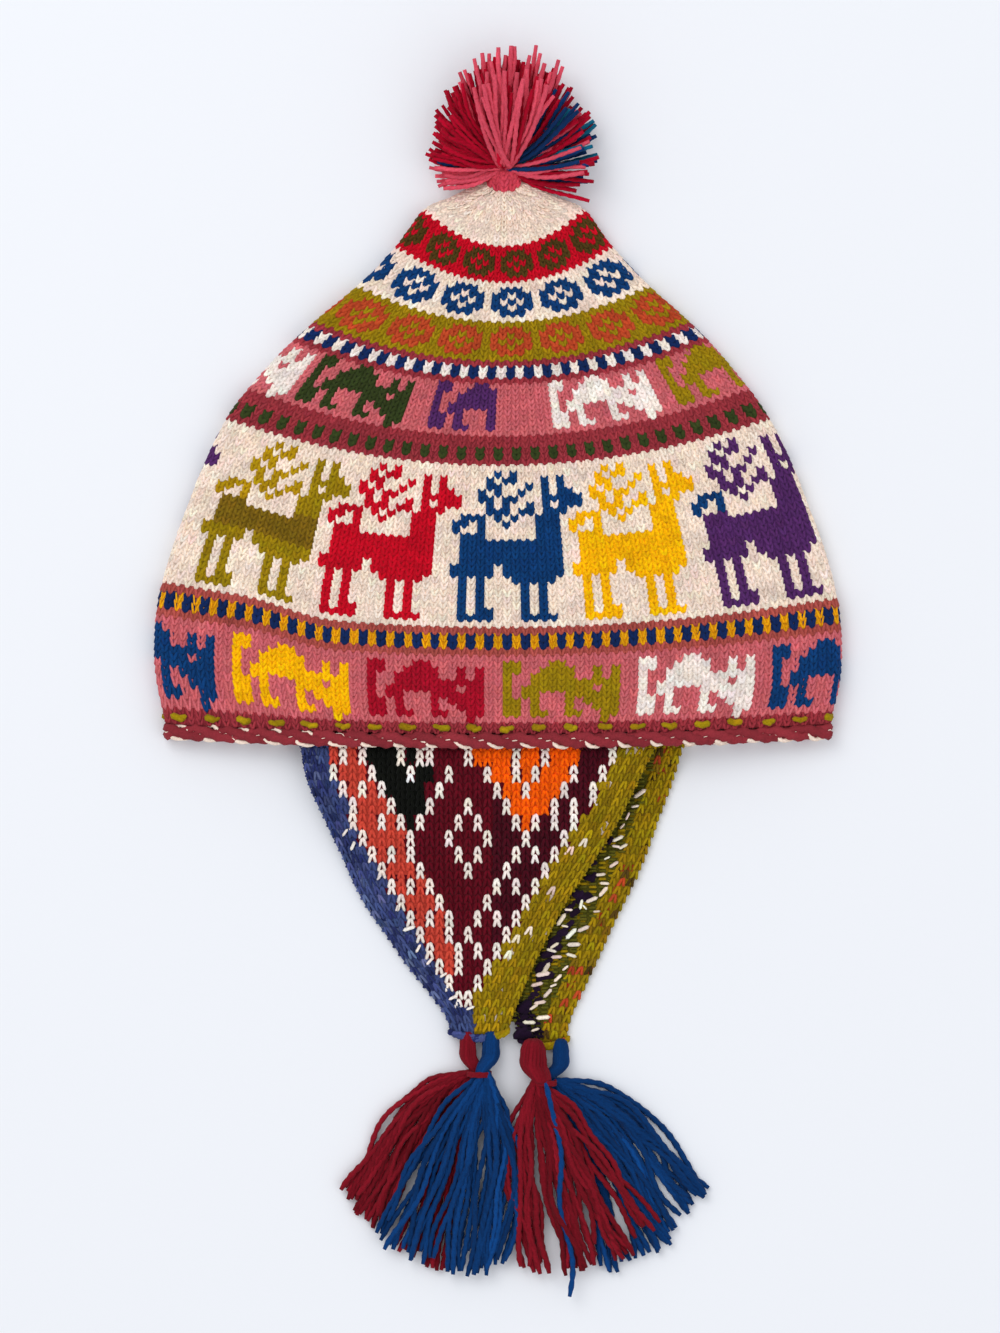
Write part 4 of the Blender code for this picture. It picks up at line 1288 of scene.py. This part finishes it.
def buildEdging():
    made = []
    line = crownLine(0.0, 0.0, smooth=True)
    around = np.linalg.norm(np.diff(line, axis=0), axis=1).sum()
    scallops = 2 * round(around / rimCords["scallop"] / 2)
    template = yarnTemplate(rimCords["rings"], 2 * math.pi * 60)
    maroon, cream = np.array(linear(yarns["d"])), np.array(linear(yarns["c"]))
    cords = [
        ("rimCordFirst", 0.0, rimCords["swing"], rimCords["depth"], rimCords["radius"], maroon * 0.85),
        ("rimCordSecond", math.pi, rimCords["swing"], rimCords["depth"], rimCords["radius"], maroon * 0.72),
        ("rimWhiteFirst", math.pi / 2, rimCords["whiteSwing"], rimCords["whiteDepth"], rimCords["whiteRadius"], cream),
        ("rimWhiteSecond", math.pi * 1.5, rimCords["whiteSwing"], rimCords["whiteDepth"], rimCords["whiteRadius"], cream),
    ]
    for name, phase, swing, depth, radius, paint in cords:
        hidden = rimCords["whiteHidden"] if "White" in name else 1.0
        route = twinedRoute(scallops / 2, phase, swing, depth, hidden)
        made.append(strandPiece(name, route[None], np.array([radius]), paint[None], template))
    # Olive bumps on the lowest courses, a small V over each scallop
    share = (np.arange(scallops) + 0.25) / scallops
    step = rimCords["bumpLong"] / 2 / around
    up = crownPoints(0.03, share) - crownPoints(0.0, share)
    places = []
    for hand in (-1, 1):
        start = crownPoints(rimCords["bumpUp"], share + hand * step)
        end = crownPoints(rimCords["bumpUp"] - rimCords["bumpDrop"], share - hand * step * 0.4)
        normal = unit(np.cross(hand * (start - end), up))
        start, end = start + chance.normal(0, 0.35 * mm, start.shape), end + chance.normal(0, 0.35 * mm, end.shape)
        wide = rimCords["bumpWide"] * np.exp(chance.normal(0, 0.15, scallops))
        places.append(legPlaces(start, end, normal, wide, np.full(scallops, rimCords["bumpThick"]), grainTemplate))
    codes = np.full(2 * scallops, yarnLetters.index("g"))
    bumps = keepInside(np.concatenate(places))
    made.append(layCopies("rimOliveBumps", bumps, yarnColours(codes, 0.12), grainTemplate, stitchWool))
    for piece in made:
        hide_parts("rim_edging")
    print("edging:", scallops, "scallops")
    return made


# Loose yarn on the flaps, in px of the photograph: the far flap's cream floats and dark patches, and
# the tails that the near flap's white stitches draw over its blue border
floats = dict(
    tails=[(345, 832), (352, 846), (379, 878), (398, 909), (409, 928), (419, 948), (431, 962), (443, 975), (453, 996),
           (470, 1008)],
    cream=[
        (635, 806), (640, 795), (622, 826), (629, 818), (617, 838), (624, 846), (616, 848), (608, 859), (614, 866),
        (601, 876), (605, 884), (604, 893), (597, 911), (586, 908), (592, 899), (580, 905), (583, 929), (576, 945),
        (572, 935), (568, 910), (560, 921), (565, 928), (556, 945), (552, 952), (558, 958), (546, 970), (543, 976),
        (537, 985), (558, 979), (554, 986), (549, 994), (540, 1002), (533, 1008), (542, 1018), (566, 968), (571, 956),
        (529, 1024), (536, 1030),
    ],
    dark=[
        (604, 844), (599, 852), (592, 868), (588, 878), (583, 893), (577, 900), (572, 910), (566, 930), (561, 938),
        (557, 950), (551, 958), (545, 967), (541, 977), (537, 990), (533, 1000), (528, 1010), (524, 1020), (522, 1032),
        (527, 1036),
    ],
    knots=3,
)


def buildFloats():
    places, colours = [], []
    rimY = -crown["restAboveRim"] - edging["clearance"] - edging["height"]
    for kind, flap, letter, length, wide, tilt in (
        ("cream", farFlap, "c", 4.6 * mm, 1.6 * mm, 0.35), ("dark", farFlap, "x", 4.0 * mm, 2.4 * mm, 0.5),
        ("tails", nearFlap, "w", 4.0 * mm, 1.35 * mm, 0.85),
    ):
        spots = np.array(floats[kind] * (floats["knots"] if kind == "dark" else 1), float)
        spots += chance.normal(0, 3.0 if kind == "dark" else 0.8, spots.shape)
        x = (spots[:, 0] - photoOrigin[0]) * photoPixel
        y = (photoOrigin[1] - spots[:, 1]) * photoPixel
        down = (rimY - y) / flapSize["length"]
        angle = tilt + chance.normal(0, 0.45, len(x))
        size = np.exp(chance.normal(0, 0.28, len(x)))
        centre = flapPoints(flap, down, x, 1.0)
        centre[:, 2] += (0.35 if kind == "cream" else 0.05) * mm
        reach = np.stack([np.cos(angle), np.sin(angle), np.zeros(len(x))], -1) * (length / 2 * size)[:, None]
        normal = np.tile([0.0, 0.0, 1.0], (len(x), 1))
        count = len(x)
        places.append(legPlaces(centre - reach, centre + reach, normal, wide * size, np.full(count, 1.2 * mm),
                                grainTemplate))
        colours.append(yarnColours(np.full(count, yarnLetters.index(letter)), 0.1))
    piece = layCopies("far_flapFloats", np.concatenate(places), np.concatenate(colours), grainTemplate, stitchWool)
    return piece


# Build
knit = buildCrownKnit()
knit.append(buildCrownBacking())
for piece in knit:
    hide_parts("crown")
edgingPieces = buildEdging()

nearLeft = (nearBorders["blueColumns"], nearBorders["blueWide"])
nearRight = (nearBorders["oliveColumns"], nearBorders["oliveWide"])
farLeft = (farBorders["oliveColumns"], farBorders["oliveWide"])
farRight = (farBorders["oliveColumns"], farBorders["oliveWide"])
nearSheet, nearKnit = buildFlap(
    nearFlap, nearLeft, nearRight, nearFrontYarn, lambda zone, column: "knit",
    nearFrontYarn, lambda zone, column: "purl", "ebbbebbggg",
)
farSheet, farKnit = buildFlap(
    farFlap, farLeft, farRight, farTopYarn, lambda zone, column: "knit" if zone == "right" else "purl",
    farUnderYarn, lambda zone, column: "knit", "xxexggggug",
)
floatPiece = buildFloats()
for piece in (nearSheet, nearKnit):
    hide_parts("near_flap")
for piece in (farSheet, farKnit, floatPiece):
    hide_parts("far_flap")
tasselPieces = buildTassels()
pompomPiece = buildPompom()

allPieces = knit + edgingPieces + [nearSheet, nearKnit, farSheet, farKnit, floatPiece] + tasselPieces + [pompomPiece]
for piece in allPieces:
    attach(piece, "root")
total = sum(len(p.vertices) - 2 for piece in allPieces for p in piece.data.polygons)
print("pieces:", len(allPieces), "with", total, "triangles")

# Floor: a plain pale sheet of paper
floorSize = 9.0  # metres


def buildFloor():
    mesh = bmesh.new()
    bmesh.ops.create_grid(mesh, x_segments=1, y_segments=1, size=floorSize / 2)
    material, tree = newMaterial("mattPaper")
    shader = addNode(
        tree, "ShaderNodeBsdfPrincipled",
        values={"Base Color": (*linear("#f3f5f9"), 1.0), "Roughness": 0.95, "Specular IOR Level": 0.2},
    )
    addNode(tree, "ShaderNodeOutputMaterial", links=dict(Surface=shader.outputs["BSDF"]))
    floor = meshPiece("floor", mesh, material)
    floor.location.z = -0.0002
    return floor


floor = buildFloor()

# Light: a bright even room and one large soft light from the upper left
lights = dict(
    world=0.73, colour="#f7f9fd",
    key=dict(place=(-0.9, 1.0, 2.0), size=1.6, power=19.0), fill=dict(place=(1.2, -0.8, 1.8), size=1.8, power=6.0),
)


def buildLights():
    world = bpy.data.worlds.new("softRoom")
    bpy.context.scene.world = world
    world.use_nodes = True
    background = world.node_tree.nodes["Background"]
    background.inputs["Color"].default_value = (*linear(lights["colour"]), 1.0)
    background.inputs["Strength"].default_value = lights["world"]
    for name in ("key", "fill"):
        row = lights[name]
        data = bpy.data.lights.new(name, "AREA")
        data.energy = row["power"]
        data.size = row["size"]
        lamp = bpy.data.objects.new(name, data)
        lamp.location = row["place"]
        lamp.rotation_euler = (-Vector(row["place"])).to_track_quat("-Z", "Y").to_euler()
        bpy.context.scene.collection.objects.link(lamp)


buildLights()

# Camera: straight above the middle of the photograph
cameraSettings = dict(height=2.4, sensor=36.0)


def buildCamera():
    data = bpy.data.cameras.new("camera")
    data.sensor_width = cameraSettings["sensor"]
    tall = photoSize[1] * photoPixel
    depth = 8 * mm  # the level on the hat that the pixel size was read at
    data.lens = cameraSettings["sensor"] * (cameraSettings["height"] - depth) / tall
    camera = bpy.data.objects.new("camera", data)
    middle = [(photoSize[0] / 2 - photoOrigin[0]) * photoPixel, (photoOrigin[1] - photoSize[1] / 2) * photoPixel]
    camera.location = (*middle, cameraSettings["height"])
    bpy.context.scene.collection.objects.link(camera)
    bpy.context.scene.camera = camera


buildCamera()
bpy.context.scene.view_settings.view_transform = "Standard"  # the dyes keep their own colours
